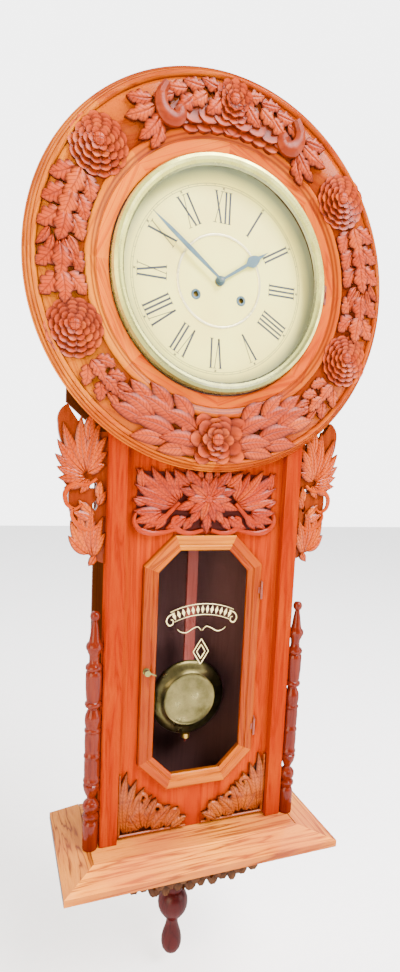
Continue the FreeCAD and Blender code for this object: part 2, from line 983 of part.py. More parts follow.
def make_apron_carving():
    """The flower and scrolls on the front board below the ring."""
    back = float(size.panel_recess)
    front = back - float(size.carving_rise)
    reach = float(size.panel_half - size.carving_margin)
    high = float(size.apron_height)
    heart = (0.0, 0.5 * high - float(size.door_crown))
    petal = 0.31 * high
    solids = [rod(*heart, 0.07 * high, front - 1.0, back)]
    for number in range(9):
        angle = 90.0 + number * 40.0
        root, tip = polar(0.03 * high, angle, heart), polar(petal, angle, heart)
        solids.append(leaf(root, tip, 0.45 * petal, front, back))
    shares = (
        ((0.13, 0.09), (0.55, 0.29), 0.17, 0.0),
        ((0.45, 0.09), (0.97, 0.50), 0.27, -0.03),
        ((0.91, -0.02), (0.92, 0.36), 0.12, 0.0),
        ((0.88, 0.02), (0.85, -0.38), 0.19, 0.03),
        ((0.08, -0.32), (0.62, -0.09), 0.10, -0.10),
        ((0.57, -0.15), (0.92, -0.36), 0.09, -0.06),
        ((0.49, 0.17), (0.62, -0.23), 0.15, 0.0),
    )
    for root, tip, wide, bow in shares:
        for side in (-1, 1):
            start, end = [
                (side * across * reach, heart[1] + rise * high) for across, rise in (root, tip)
            ]
            solids.append(leaf(start, end, wide * high, front + 1, back, side * bow * high))
    pendant = [(0.0, heart[1] - share * high) for share in (0.21, 0.46)]
    solids.append(leaf(*pendant, 0.15 * high, front + 1, back))
    form("apron_carving", [fused(solids)])


def make_corner_carvings():
    """The pair of leaf carvings that fill the lower corners of the front."""
    back = float(size.panel_recess)
    front = back - float(size.carving_rise)
    edge = float(size.panel_half)
    foot = float(size.carving_margin) / 2 - float(size.trunk_drop)
    high = float(size.corner_height)
    wide = 0.93 * edge
    bead = 0.04 * high
    solids = [
        slab(rectangle((edge - bead, edge), (foot, foot + high)), front + 3, back),
        slab(rectangle((edge - wide, edge), (foot, foot + bead)), front + 3, back),
    ]
    shares = (
        ((0.02, 0.30), (0.14, 0.98), 0.20),
        ((0.06, 0.22), (0.43, 0.66), 0.24),
        ((0.19, 0.14), (0.60, 0.44), 0.22),
        ((0.29, 0.03), (0.92, 0.30), 0.24),
        ((0.58, 0.12), (0.81, 0.52), 0.18),
        ((0.48, 0.02), (0.96, 0.08), 0.14),
        ((0.02, 0.02), (0.25, 0.40), 0.26),
    )
    for root, tip, thick in shares:
        start, end = [(edge - across * wide, foot + rise * high) for across, rise in (root, tip)]
        solids.append(leaf(start, end, thick * high, front + 1, back))
    panel = box_solid((0.0, edge), (front, back), (foot + high / 2, high))
    right = fused(solids).common(panel)
    form("corner_carvings", [right] + mirrored([right]))


# ---------------------------------------------------------------- bezel and dial


def make_bezel():
    """The spun brass bezel that holds the front glass."""
    part = body("bezel_ring")
    radius, front, wall = size.bezel_radius, -size.bezel_front, size.bezel_wall
    sight, glass, face = size.sight_radius, size.glass_radius, -size.glass_face
    turned(
        part,
        [
            (radius, -size.bezel_back),
            (radius, front + 6),
            (radius - 2, front + 1.5),
            (radius - 6, front),
            (radius - 9, front + 2),
            (sight + 2, front + 3),
            (sight, face),
            (glass + 0.3, face),
            (radius - 2 * wall, face + 2),
            (radius - wall, -size.bezel_back),
        ],
    )
    node(part, "bezel_ring")
    glass_part = body("bezel_glass")
    plate(
        glass_part,
        circles=[(0.0, 0.0, glass)],
        front=face,
        back=face + size.glass_sheet,
    )
    node(glass_part, "bezel_glass")


def make_dial():
    """The painted dial sheet on its board, and the raised ring round the hands."""
    dial = body("dial_plate")
    front = size.dial_setback
    middle = front + size.dial_sheet
    holes = [(0.0, 0.0, 6.0)]
    for side in (-1, 1):
        holes.append((side * size.winding_half, -size.winding_drop, size.winding_hole))
    plate(dial, circles=[(0.0, 0.0, size.dial_radius)] + holes, front=front, back=middle)
    node(dial, "dial_plate")
    board = body("dial_board")
    half = size.head_half - size.case_board
    lean = 22.0
    shoulder = size.head_shoulder - lean
    path = [
        (half - lean, -shoulder - lean),
        (half, -shoulder),
        (half, shoulder),
        (half - lean, shoulder + lean),
        (-half + lean, shoulder + lean),
        (-half, shoulder),
        (-half, -shoulder),
        (-half + lean, -shoulder - lean),
    ]
    plate(
        board,
        paths=[path],
        circles=[(0.0, 0.0, size.dial_window)],
        front=middle,
        back=middle + size.dial_board,
    )
    node(board, "dial_board")
    trim = body("dial_trim_ring")
    inner = size.trim_radius - size.trim_width / 2
    outer = size.trim_radius + size.trim_width / 2
    turned(
        trim,
        [
            (inner, front),
            (outer, front),
            (size.trim_radius, front - size.trim_rise),
        ],
    )
    node(trim, "dial_trim_ring")


def make_hands():
    """Blued spade hands, turned to the time shown, and the brass nut that holds them."""
    sheet = size.hand_sheet
    hour_face = size.dial_setback - 4.0
    minute_face = hour_face - 3.4
    pipes = {"hour_hand": 4.0, "minute_hand": 2.5}
    reach = {"hour_hand": size.hour_hand, "minute_hand": size.minute_hand}
    shapes = {
        "hour_hand": [
            (1.6, 5.6),
            (2.2, reach["hour_hand"] - 44),
            (2.0, reach["hour_hand"] - 36),
            (6.8, reach["hour_hand"] - 30),
            arc(6.0, reach["hour_hand"] - 22),
            (2.2, reach["hour_hand"] - 16),
            (0.0, reach["hour_hand"]),
            (-2.2, reach["hour_hand"] - 16),
            arc(-6.0, reach["hour_hand"] - 22),
            (-6.8, reach["hour_hand"] - 30),
            (-2.0, reach["hour_hand"] - 36),
            (-2.2, reach["hour_hand"] - 44),
            (-1.6, 5.6),
            arc(0.0, -6.2),
        ],
        "minute_hand": [
            (1.5, 4.6),
            (3.0, reach["minute_hand"] - 62),
            (2.2, reach["minute_hand"] - 26),
            (0.0, reach["minute_hand"]),
            (-2.2, reach["minute_hand"] - 26),
            (-3.0, reach["minute_hand"] - 62),
            (-1.5, 4.6),
            arc(0.0, -5.0),
        ],
    }
    faces = {"hour_hand": hour_face, "minute_hand": minute_face}
    turns = {"hour_hand": size.minutes_shown * 0.5, "minute_hand": size.minutes_shown * 6}
    for name, path in shapes.items():
        turn = Rotation(Vector(0, 1, 0), float(turns[name]))
        part = body(name, turn=turn)
        part.setExpression("Placement.Rotation.Angle", turns[name].text)
        plate(
            part,
            paths=[path],
            circles=[(0.0, 0.0, pipes[name])],
            front=faces[name],
            back=faces[name] + sheet,
        )
        node(part, name)
    nut = body("hand_nut")
    turned(
        nut,
        [
            (size.centre_radius, minute_face),
            (3.8, minute_face),
            (3.8, minute_face - 1.4),
            (2.6, minute_face - 2.6),
            (size.centre_radius, minute_face - 2.6),
        ],
    )
    node(nut, "hand_nut")


# ---------------------------------------------------------------- door


def door_corners(outward=0.0):
    """The eight corners of the door's outline, anticlockwise from the lower right side."""
    half = float(size.door_half) + outward
    crown = -float(size.door_crown) + outward
    foot = -float(size.door_foot) - outward
    corner = float(size.door_corner) + outward * (2 - math.sqrt(2))
    return [
        (half, foot + corner),
        (half, crown - corner),
        (half - corner, crown),
        (corner - half, crown),
        (-half, crown - corner),
        (-half, foot + corner),
        (corner - half, foot),
        (half - corner, foot),
    ]


def make_door():
    """Eight mitred moulding lengths, the glass in their rebate, and the turn latch."""
    face, back, wide = float(size.door_face), float(size.door_back), float(size.door_member)
    section = [
        (1.0, back),
        (0.0, face + 6.0),
        (0.0, face + 1.5),
        (1.5, face),
        (0.56 * wide, face),
        (0.62 * wide, face + 1.6),
        (0.72 * wide, face + 0.6),
        (0.86 * wide, face + 1.2),
        (wide, face + 3.0),
        (wide, face + 4.0),
        (wide - 4.0, face + 4.0),
        (wide - 4.0, back),
    ]
    members = mitred_members(door_corners(), section)
    latch_x, latch_z = latch_place()
    bore = rod(latch_x, latch_z, 1.6 + float(size.running_gap), face - 1, back + 1)
    form("door_frame", [member.cut(bore) for member in members])
    glass_face = face + 4.0
    sheet = slab(door_corners(-(wide - 3.7)), glass_face, glass_face + float(size.door_glass))
    form("door_glass", [sheet])
    make_door_latch(face, back)


def make_door_latch(face, back):
    """A brass knob and pointer on the front, joined to a tongue behind the door."""
    behind = float(size.panel_recess + size.panel_board) + 0.6
    spindle = rod(0, 0, 1.6, face - 6.0, behind + 2.0)
    knob = rod(0, 0, 4.0, face - 9.5, face - 5.0)
    rose = rod(0, 0, 4.6, face - 1.2, face)
    pointer = slab([(0, -1.4), (15, -0.5), (15, 0.5), (0, 1.4)], face - 3.4, face - 1.8)
    tongue = slab([(-3.5, -3.5), (15, -3.0), (15, 3.0), (-3.5, 3.5)], behind, behind + 2.0)
    form(
        "door_latch",
        [fused([spindle, knob, rose, pointer, tongue])],
        latch_place()[0],
        0.0,
        latch_place()[1],
        Rotation(Vector(0, 1, 0), 25.0),
    )


def latch_place():
    """Front-view place of the latch: on the door's left member, near its middle."""
    middle = -float(size.door_crown + size.door_foot) / 2
    return 6.5 - float(size.door_half), middle - 4.0


def door_hinge_heights():
    """Heights of the middles of the two door hinges."""
    middle = -(size.door_crown + size.door_foot) / 2
    return (middle + 100.0, middle - 100.0)


def hinge_axis():
    """Front-view place and depth of the door hinge pins."""
    return float(size.door_half + size.fit_gap / 2), float(size.door_face) - 1.6


def knuckle(x, y, low, high, radius, bore=0.0):
    """An upright barrel of a hinge."""
    barrel = Part.makeCylinder(radius, high - low, Vector(x, y, low))
    if bore:
        barrel = barrel.cut(Part.makeCylinder(bore, high - low, Vector(x, y, low)))
    return barrel


def make_hinges():
    """Butt hinges: fixed leaves with two end knuckles, moving straps with pin and middle one."""
    radius, length = float(size.knuckle_radius), float(size.knuckle_length)
    gap, reach = float(size.running_gap), float(size.hinge_reach)
    third = length / 3
    pin = 0.45 * radius
    fixed, door_straps = [], []
    x, y = hinge_axis()
    panel = float(size.panel_recess)
    face = float(size.door_face)
    for height in door_hinge_heights():
        middle = float(height)
        leaf_plate = box_solid((x + 0.5, x + reach), (panel - 1.2, panel), (middle, length))
        web = box_solid((x + 0.5, x + 1.7), (y, panel), (middle, length))
        ends = [
            knuckle(x, y, middle - length / 2, middle - third / 2 - 0.2, radius),
            knuckle(x, y, middle + third / 2 + 0.2, middle + length / 2, radius),
        ]
        slot = box_solid((x - 4, x + 4), (y - 4, y + 4), (middle, third + 0.4))
        bore = knuckle(x, y, middle - length, middle + length, pin + gap)
        fixed.append(fused([leaf_plate, web] + ends).cut(fused([slot, bore])))
        strap = box_solid((x - reach, x), (face - 1.0, face), (middle, third))
        moving = fused([strap, knuckle(x, y, middle - third / 2, middle + third / 2, radius)])
        pin_rod = knuckle(x, y, middle - length / 2 - 1, middle + length / 2 + 1, pin)
        door_straps.append(fused([moving, pin_rod]))
    fixed.append(bezel_hinge_leaf(radius, length, pin + gap))
    form("hinge_leaves", fixed)
    form("door_hinge_straps", door_straps)
    form("bezel_hinge_strap", [bezel_hinge_strap(radius, length, pin)])


def box_solid(x, y, upright):
    """A square block: two ranges, and a middle height with a length."""
    middle, length = upright
    corner = Vector(x[0], y[0], middle - length / 2)
    return Part.makeBox(x[1] - x[0], y[1] - y[0], length, corner)


def bezel_hinge_axis():
    """Place and depth of the bezel hinge pin, at three o'clock."""
    across = float(size.bezel_radius + size.knuckle_radius) + 0.3
    return across, -float(size.ring_ground) - float(size.knuckle_radius) + 0.6


def bezel_hinge_leaf(radius, length, bore):
    """The leaf on the inner ring, with its two end knuckles."""
    x, y = bezel_hinge_axis()
    ring_face = 1.0 - float(size.ring_ground)
    third = length / 3
    flat = box_solid((x, x + float(size.hinge_reach)), (ring_face - 1.2, ring_face), (0.0, length))
    ends = [
        knuckle(x, y, -length / 2, -third / 2 - 0.2, radius),
        knuckle(x, y, third / 2 + 0.2, length / 2, radius),
    ]
    slot = box_solid((x - 4, x + 4), (y - 4, ring_face + 2), (0.0, third + 0.4))
    hole = knuckle(x, y, -length, length, bore)
    return fused([flat] + ends).cut(fused([slot, hole]))


def bezel_hinge_strap(radius, length, pin):
    """The strap soldered to the bezel's rim, with the middle knuckle and the pin."""
    x, y = bezel_hinge_axis()
    third = length / 3
    rim = float(size.bezel_radius)
    strap = box_solid((rim - 1.0, x), (y - 1.0, y + 1.4), (0.0, third))
    inside = Part.makeCylinder(rim, 40, Vector(0, -30, 0), Vector(0, 1, 0))
    middle = knuckle(x, y, -third / 2, third / 2, radius)
    joined = fused([strap, middle]).cut(inside)
    return fused([joined, knuckle(x, y, -length / 2 - 1, length / 2 + 1, pin)])


# ---------------------------------------------------------------- movement

CENTRE_ARBOR = (0.0, 0.0)



def meeting_point(first, first_reach, second, second_reach, side):
    """The point at given distances from two centres, to the right (+1) or left (-1) of both."""
    step = (second[0] - first[0], second[1] - first[1])
    apart = math.hypot(*step)
    along = (first_reach**2 - second_reach**2 + apart**2) / (2 * apart)
    across = side * math.sqrt(first_reach**2 - along**2)
    return (
        first[0] + (along * step[0] + across * step[1]) / apart,
        first[1] + (along * step[1] - across * step[0]) / apart,
    )


def bearing(start, end):
    """The front-view angle in degrees from one point towards another."""
    return math.degrees(math.atan2(end[1] - start[1], end[0] - start[0]))


def arbor_points():
    """Front-view place of every arbor, from the tooth counts and the modules."""
    train, great = float(size.train_module), float(size.great_module)
    drive = great * (GREAT_TEETH + CENTRE_TEETH[1]) / 2
    barrel = float(size.winding_half)
    drop = math.sqrt(drive**2 - barrel**2)
    escape_drop = float(size.escape_radius) / math.cos(math.radians(pallet_angle()))
    escape = (0.0, float(size.pendulum_pivot) - escape_drop)
    third = meeting_point(
        CENTRE_ARBOR,
        train * (CENTRE_TEETH[0] + THIRD_TEETH[1]) / 2,
        escape,
        train * (THIRD_TEETH[0] + ESCAPE_TEETH[1]) / 2,
        1,
    )
    pin = (-barrel, drive - drop)
    fly_reach = train * (PIN_TEETH[0] + FLY_PINION) / 2
    return {
        "centre": CENTRE_ARBOR,
        "time": (barrel, -drop),
        "strike": (-barrel, -drop),
        "third": third,
        "escape": escape,
        "pallets": (0.0, float(size.pendulum_pivot)),
        "minute": (0.0, -float(size.motion_module) * (CANNON_TEETH + MINUTE_TEETH[0]) / 2),
        "pin": pin,
        "fly": polar(fly_reach, 118.0, pin),
        "hammer": (-54.0, 8.0),
    }


def pallet_angle():
    """Half the angle that the anchor spans on the escape wheel, in degrees."""
    return PALLET_SPAN * 360.0 / ESCAPE_TEETH[0] / 2


def crossed(disc, hub, rim, front, back, arms=5, arm=2.6):
    """A wheel with the spaces between its straight arms cut out."""
    windows = []
    for number in range(arms):
        start = 360.0 / arms * number
        stop = start + 360.0 / arms
        points = []
        for reach in (hub, rim):
            lean = math.degrees(math.asin(arm / 2 / reach))
            points.append((reach, start + lean, stop - lean))
        (near, near_start, near_stop), (far, far_start, far_stop) = points
        edges = []
        for reach, first, last in ((near, near_stop, near_start), (far, far_start, far_stop)):
            corners = [polar(reach, first), polar(reach, (first + last) / 2), polar(reach, last)]
            edges.append(Part.Arc(*[Vector(x, front - 1, z) for x, z in corners]).toShape())
        inner, outer = edges
        join = [
            Part.LineSegment(inner.Vertexes[-1].Point, outer.Vertexes[0].Point).toShape(),
            Part.LineSegment(outer.Vertexes[-1].Point, inner.Vertexes[0].Point).toShape(),
        ]
        wire = Part.Wire(Part.sortEdges([inner, join[0], outer, join[1]])[0])
        windows.append(Part.Face(wire).extrude(Vector(0, back - front + 2, 0)))
    return disc.cut(windows[0].multiFuse(windows[1:]))


def wheel(teeth, module, front, back, gap_at):
    """A crossed-out wheel with a gap between teeth at the given angle."""
    radius = float(module) * teeth / 2
    disc = gear(teeth, module, front, back, gap_at=gap_at)
    return crossed(disc, max(4.5, 0.2 * radius), radius - 2.6 * float(module) - 1.0, front, back)


def make_plates():
    """The two movement plates with their pivot holes, the pillars and the battens."""
    at = arbor_points()
    gap = size.running_gap
    half, foot, crown = size.plate_half, size.plate_foot, size.plate_crown
    fine, thick = size.arbor_radius + gap, size.winding_radius + gap
    front = body("front_plate")
    back = body("back_plate")
    holes = [(*at[name], fine) for name in ("third", "escape", "pallets", "pin", "fly", "hammer")]
    holes += [(*at[name], thick) for name in ("time", "strike")]
    holes.append((0.0, 0.0, size.centre_radius + gap))
    face = size.plate_front
    rear = face + size.plate_sheet + size.plate_gap
    outline = rectangle((-half, half), (-foot, crown))
    plate(front, [outline], holes, face, face + size.plate_sheet)
    lug = size.plate_lug
    lugged = [
        (-half, -foot),
        (half, -foot),
        (half, -foot + lug),
        (half + lug, -foot + lug),
        (half + lug, crown - lug),
        (half, crown - lug),
        (half, crown),
        (-half, crown),
        (-half, crown - lug),
        (-half - lug, crown - lug),
        (-half - lug, -foot + lug),
        (-half, -foot + lug),
    ]
    plate(back, [lugged], holes, rear, rear + size.plate_sheet)
    node(front, "front_plate")
    node(back, "back_plate")
    pillars = []
    for x in (-half + 6, half - 6):
        for z in (-foot + 6, crown - 6):
            start, end = face + size.plate_sheet, rear
            pillar = document.addObject("Part::Cylinder", "plate_pillar")
            bind(pillar, "Radius", size.pillar_radius)
            bind(pillar, "Height", end - start)
            place(pillar, x, end, z, Rotation(Vector(1, 0, 0), 90))
            pillars.append(pillar)
    group("plate_pillars", pillars)
    battens = []
    for side in (-1, 1):
        across = (side * (half + 2), side * (half + lug))
        if side < 0:
            across = (across[1], across[0])
        depth = (rear + size.plate_sheet, size.case_depth - size.back_board)
        battens.append(box("movement_batten", across, depth, (-foot, crown)))
    group("movement_battens", battens)


def make_barrels():
    """The two mainspring barrels with their great wheels and squared winding arbors."""
    at = arbor_points()
    radius = float(size.winding_radius)
    plate_front, plate_back = float(size.plate_front), plate_rear()
    square = radius * math.sqrt(0.5) - 0.05
    mates = {"time": at["centre"], "strike": at["pin"]}
    layers = {"time": 20.0, "strike": 42.0}
    drum_front, drum_back = 22.0, 37.0
    for name, wheel_front in layers.items():
        towards = bearing(at[name], mates[name])
        wheel_back = wheel_front + 2.0
        great = gear(GREAT_TEETH, size.great_module, wheel_front, wheel_back, gap_at=towards)
        key = slab(
            rectangle((-square, square), (-square, square)), float(size.dial_setback) + 2.8, plate_front
        )
        solids = [
            great,
            rod(0, 0, size.drum_radius, drum_front, drum_back),
            rod(0, 0, 7.0, drum_front, max(drum_back, wheel_back)),
            rod(0, 0, radius, plate_front, plate_back + 1.5),
            key,
        ]
        form(f"{name}_barrel", [fused(solids)], at[name][0], 0.0, at[name][1])


def plate_rear():
    """Depth of the rear face of the back plate."""
    return float(size.plate_front + size.plate_sheet * 2 + size.plate_gap)


def plate_span():
    """Depths between which the thin arbors run, one plate thickness included each side."""
    return float(size.plate_front), plate_rear()


def make_going_train():
    """Centre, third and escape wheels, each pinion meshing with the wheel before it."""
    at = arbor_points()
    front, rear = plate_span()
    train, great = size.train_module, size.great_module
    thin = size.arbor_radius
    to_third = bearing(at["centre"], at["third"])
    pinion_tooth = bearing(at["centre"], at["time"])
    centre = [
        rod(0, 0, size.centre_radius, minute_nut_front() - 0.8, rear),
        gear(CENTRE_TEETH[1], great, 19.0, 24.0, tooth_at=pinion_tooth),
        wheel(CENTRE_TEETH[0], train, 39.0, 40.5, to_third),
    ]
    form("centre_arbor", [fused(centre)])
    to_escape = bearing(at["third"], at["escape"])
    third = [
        rod(0, 0, thin, front, rear),
        gear(THIRD_TEETH[1], train, 37.5, 41.0, tooth_at=to_third + 180),
        wheel(THIRD_TEETH[0], train, 28.0, 29.3, to_escape),
    ]
    form("third_wheel", [fused(third)], at["third"][0], 0.0, at["third"][1])
    escape = [
        rod(0, 0, thin, front, rear),
        gear(ESCAPE_TEETH[1], train, 26.5, 31.0, tooth_at=to_escape + 180),
        escape_disc(33.0, 34.2),
    ]
    form("escape_wheel", [fused(escape)], at["escape"][0], 0.0, at["escape"][1])


def escape_disc(front, back):
    """The escape wheel: fine leaning teeth, standing midway between the two pallets' beats."""
    pitch = 360.0 / ESCAPE_TEETH[0]
    radius = float(size.escape_radius)
    first = 90.0 - pallet_angle() + 0.25 * pitch
    points = []
    for tooth in range(ESCAPE_TEETH[0]):
        tip = first + tooth * pitch
        for reach, lag in ((radius, 0.0), (radius - 2.6, 0.42), (radius - 2.6, 0.95)):
            points.append(polar(reach, tip + lag * pitch))
    return crossed(slab(points, front, back), 3.2, radius - 4.4, front, back, arms=4, arm=1.6)


def make_pallets():
    """The anchor with its two pallets, their arbor, and the crutch that the pendulum drives."""
    reach = float(size.escape_radius)
    drop = reach / math.cos(math.radians(pallet_angle()))
    angle = math.radians(90.0 - pallet_angle())
    contact = (reach * math.cos(angle), reach * math.sin(angle) - drop)
    gap = float(size.pallet_gap)
    solids = [rod(0, 0, size.arbor_radius, float(size.plate_front), plate_rear() + 3.6)]
    for side in (-1, 1):
        outward = (side * math.cos(angle), math.sin(angle))
        tip = (side * contact[0] + gap * outward[0], contact[1] + gap * outward[1])
        heel = (tip[0] + 4.4 * outward[0], tip[1] + 4.4 * outward[1])
        normal = (-outward[1], outward[0])
        nib = [
            (tip[0] + 0.3 * normal[0], tip[1] + 0.3 * normal[1]),
            (heel[0] + 1.0 * normal[0], heel[1] + 1.0 * normal[1]),
            (heel[0] - 1.0 * normal[0], heel[1] - 1.0 * normal[1]),
            (tip[0] - 0.3 * normal[0], tip[1] - 0.3 * normal[1]),
        ]
        arm = [(0, 1.8), (0, -1.4), (heel[0], heel[1] - 1.0), (heel[0], heel[1] + 1.2)]
        solids += [slab(nib, 32.6, 34.6), slab(arm, 32.6, 34.6)]
    solids.append(rod(0, 0, 2.4, 32.0, 35.2))
    solids += crutch()
    form("pallets", [fused(solids)], 0.0, 0.0, size.pendulum_pivot)


def crutch():
    """A wire down from the pallet arbor, ending in a fork round the pendulum's wire."""
    behind = plate_rear() + 1.0
    drop = float(size.pendulum_pivot) + 16.0
    collar = rod(0, 0, 2.4, behind, behind + 2.4)
    wire = box_solid((-0.8, 0.8), (behind + 0.4, behind + 2.0), (-drop / 2, drop))
    bar = box_solid((-3.6, 3.6), (behind + 0.4, behind + 2.0), (-drop, 2.4))
    far = float(size.pendulum_setback) + 2.0
    prongs = [
        box_solid(across, (behind + 0.4, far), (-drop, 2.4)) for across in ((-3.6, -2.0), (2.0, 3.6))
    ]
    return [collar, wire, bar] + prongs


def minute_nut_front():
    """Depth of the front of the nut that holds the minute hand."""
    return float(size.dial_setback) - 7.4 - 2.6


def make_motion_work():
    """Cannon pinion, minute wheel and hour wheel, which gear the hour hand down by twelve."""
    gap = float(size.running_gap)
    coarse = float(size.motion_module)
    drop = coarse * (CANNON_TEETH + MINUTE_TEETH[0]) / 2
    fine = 2 * drop / (MINUTE_TEETH[1] + HOUR_TEETH)
    bore = float(size.centre_radius) + gap
    minute_face = float(size.dial_setback) - 7.4
    hour_face = float(size.dial_setback) - 4.0
    cannon = fused(
        [gear(CANNON_TEETH, coarse, 12.0, 15.0, tooth_at=-90.0), rod(0, 0, 2.5, minute_face, 15.0)]
    )
    form("cannon_pinion", [cannon.cut(rod(0, 0, bore, minute_face - 1, 16.0))])
    hour = fused([gear(HOUR_TEETH, fine, 8.0, 9.5, gap_at=-90.0), rod(0, 0, 4.0, hour_face, 9.5)])
    form("hour_wheel", [hour.cut(rod(0, 0, 2.5 + gap + 0.03, hour_face - 1, 10.0))])
    minute = fused(
        [
            gear(MINUTE_TEETH[0], coarse, 12.6, 14.0, gap_at=90.0),
            gear(MINUTE_TEETH[1], fine, 7.5, 12.6, tooth_at=90.0),
        ]
    )
    post_hole = rod(0, 0, size.arbor_radius + gap, 7.0, 15.0)
    form("minute_wheel", [minute.cut(post_hole)], 0.0, 0.0, -drop)
    return drop


def make_strike_train():
    """The pin wheel that lifts the hammer, and the fly that slows the strike."""
    at = arbor_points()
    front, rear = plate_span()
    thin = size.arbor_radius
    to_fly = bearing(at["pin"], at["fly"])
    tail = bearing(at["pin"], hammer_tail_tip(at))
    pins = [rod(*polar(12.0, tail + 22.5 + 45 * number), 0.8, 25.0, 30.0) for number in range(8)]
    pin_parts = [
        rod(0, 0, thin, front, rear),
        gear(PIN_TEETH[1], size.great_module, 41.0, 45.0, tooth_at=-90.0),
        gear(PIN_TEETH[0], size.train_module, 24.0, 25.5, gap_at=to_fly),
    ]
    form("pin_wheel", [fused(pin_parts + pins)], at["pin"][0], 0.0, at["pin"][1])
    fly = [
        rod(0, 0, thin, front, rear),
        gear(FLY_PINION, size.train_module, 23.0, 27.0, tooth_at=to_fly + 180),
        slab(rectangle((-10.5, 10.5), (-0.5, 0.5)), 31.0, 44.0),
        rod(0, 0, 2.2, 31.0, 44.0),
    ]
    form("fly", [fused(fly)], at["fly"][0], 0.0, at["fly"][1])


def hammer_tail_tip(at):
    """Where the hammer's tail waits, just clear of the lifting pins' sweep."""
    return polar(13.4, bearing(at["pin"], at["hammer"]) + 3.0, at["pin"])


def make_hammer():
    """The strike hammer: arbor, lifting tail, long arm and round head beside the gong block."""
    at = arbor_points()["hammer"]
    tip = hammer_tail_tip(arbor_points())
    reach = float(size.hammer_reach)
    depth = gong_depth()
    tail = (tip[0] - at[0], tip[1] - at[1])
    length = math.hypot(*tail)
    across = (-tail[1] / length * 0.9, tail[0] / length * 0.9)
    blade = [
        (-across[0], -across[1]),
        (tail[0] - across[0], tail[1] - across[1]),
        (tail[0] + across[0], tail[1] + across[1]),
        across,
    ]
    head = Part.makeCylinder(6.5, 13.0, Vector(-6.0, depth, -reach - 6.0), Vector(1, 0, 0))
    arm = Part.makeCylinder(1.2, reach + 3, Vector(0, depth, -reach - 3), Vector(0, 0, 1))
    solids = [
        rod(0, 0, size.arbor_radius, float(size.plate_front), depth + 2.4),
        rod(0, 0, 2.6, depth - 2.4, depth + 2.4),
        slab(blade, 27.0, 28.5),
        rod(0, 0, 2.4, 26.4, 29.1),
        arm,
        head,
    ]
    form("strike_hammer", [fused(solids)], at[0], 0.0, at[1])


def gong_depth():
    """Depth of the plane of the gong coil and the hammer arm."""
    return float(size.case_depth - size.back_board) - 14.5


def make_gong():
    """A coiled wire gong hung from an iron block on the back board."""
    depth = gong_depth()
    back = float(size.case_depth - size.back_board)
    wire = float(size.gong_wire)
    block_top = float(size.hammer_reach) - 16.0
    block = box_solid((-46.0, -30.0), (depth - 8.0, back), (-block_top - 14.0, 28.0))
    outer = float(size.gong_radius)
    centre_high = -block_top - 28.0 - 29.0
    edges = []
    for turn in range(4):
        radius = outer - 4.0 * turn
        middle = 2.0 if turn % 2 == 0 else 6.0
        side = -1 if turn % 2 == 0 else 1
        start = (middle + side * radius, centre_high)
        crown = (middle, centre_high + (-radius if turn % 2 == 0 else radius))
        end = (middle - side * radius, centre_high)
        points = [Vector(x, depth, z) for x, z in (start, crown, end)]
        edges.append(Part.Arc(*points).toShape())
    lead = Vector(2.0 - outer, depth, -block_top - 20.0)
    stem = Part.LineSegment(lead, Vector(2.0 - outer, depth, centre_high)).toShape()
    spine = Part.Wire([stem] + edges)
    section = [
        Vector(lead.x + wire * x, depth + wire * y, lead.z)
        for x, y in ((-1, -1), (1, -1), (1, 1), (-1, 1))
    ]
    coil = spine.makePipeShell([Part.makePolygon(section + section[:1])], True, False)
    form("gong", [block.fuse(coil)])


# ---------------------------------------------------------------- pendulum


def make_suspension():
    """The slotted cock on the back plate, and the spring and wire that hang from it."""
    rear = plate_rear()
    pivot, setback = float(size.pendulum_pivot), float(size.pendulum_setback)
    cock = [
        box_solid((-6.0, 6.0), (rear, setback + 4.5), (pivot + 8.0, 6.0)),
        box_solid((-6.0, -1.0), (setback - 4.0, setback + 4.5), (pivot + 3.0, 6.0)),
        box_solid((1.0, 6.0), (setback - 4.0, setback + 4.5), (pivot + 3.0, 6.0)),
    ]
    form("suspension_cock", [fused(cock)])
    top = float(size.rod_top)
    spring = [
        box_solid((-0.15, 0.15), (-2.5, 2.5), (-4.0, 16.0)),
        box_solid((-2.0, 2.0), (-3.0, 3.0), (-15.0, 6.0)),
        knuckle(0.0, 0.0, -pivot - top, -18.0, 1.5),
    ]
    form("suspension_spring", [fused(spring)], 0.0, size.pendulum_setback, size.pendulum_pivot)


def make_pendulum():
    """The wooden stick with its brass lens bob and the nut that sets the rate."""
    setback, drop = size.pendulum_setback, float(size.bob_drop)
    radius = float(size.bob_radius)
    wide, thick = float(size.rod_width), float(size.rod_thick)
    stick_end = -drop - radius + 4.0
    top = -float(size.rod_top)
    stick = [
        box_solid((-wide / 2, wide / 2), (-thick / 2, thick / 2), ((top + stick_end) / 2, top - stick_end)),
        knuckle(0.0, 0.0, stick_end - 18.0, stick_end + 1.0, float(size.screw_radius)),
    ]
    form("pendulum_rod", [fused(stick)], 0.0, setback, 0.0)
    lens = [
        (0.0, -12.4),
        (0.62 * radius, -12.4),
        (0.66 * radius, -14.0),
        (0.70 * radius, -14.0),
        (0.74 * radius, -12.4),
        (radius, -1.0),
        (radius, 1.0),
        (0.55 * radius, 9.0),
        (0.0, 9.0),
    ]
    points = [Vector(reach, depth, 0) for reach, depth in lens]
    face = Part.Face(Part.makePolygon(points + points[:1]))
    bob = face.revolve(Vector(0, 0, 0), Vector(0, 1, 0), 360)
    slot = box_solid((-wide / 2 - 0.1, wide / 2 + 0.1), (-thick / 2, thick / 2), (0.0, 2.2 * radius))
    form("pendulum_bob", [bob.cut(slot)], 0.0, setback, -drop)
    nut = body("rating_nut", 0.0, setback, -size.bob_drop - size.bob_radius)
    bore = size.screw_radius + size.running_gap
    turned(nut, rectangle((bore, size.rating_nut), (-7.0, -0.6)), "XZ_Plane")
    node(nut, "rating_nut")


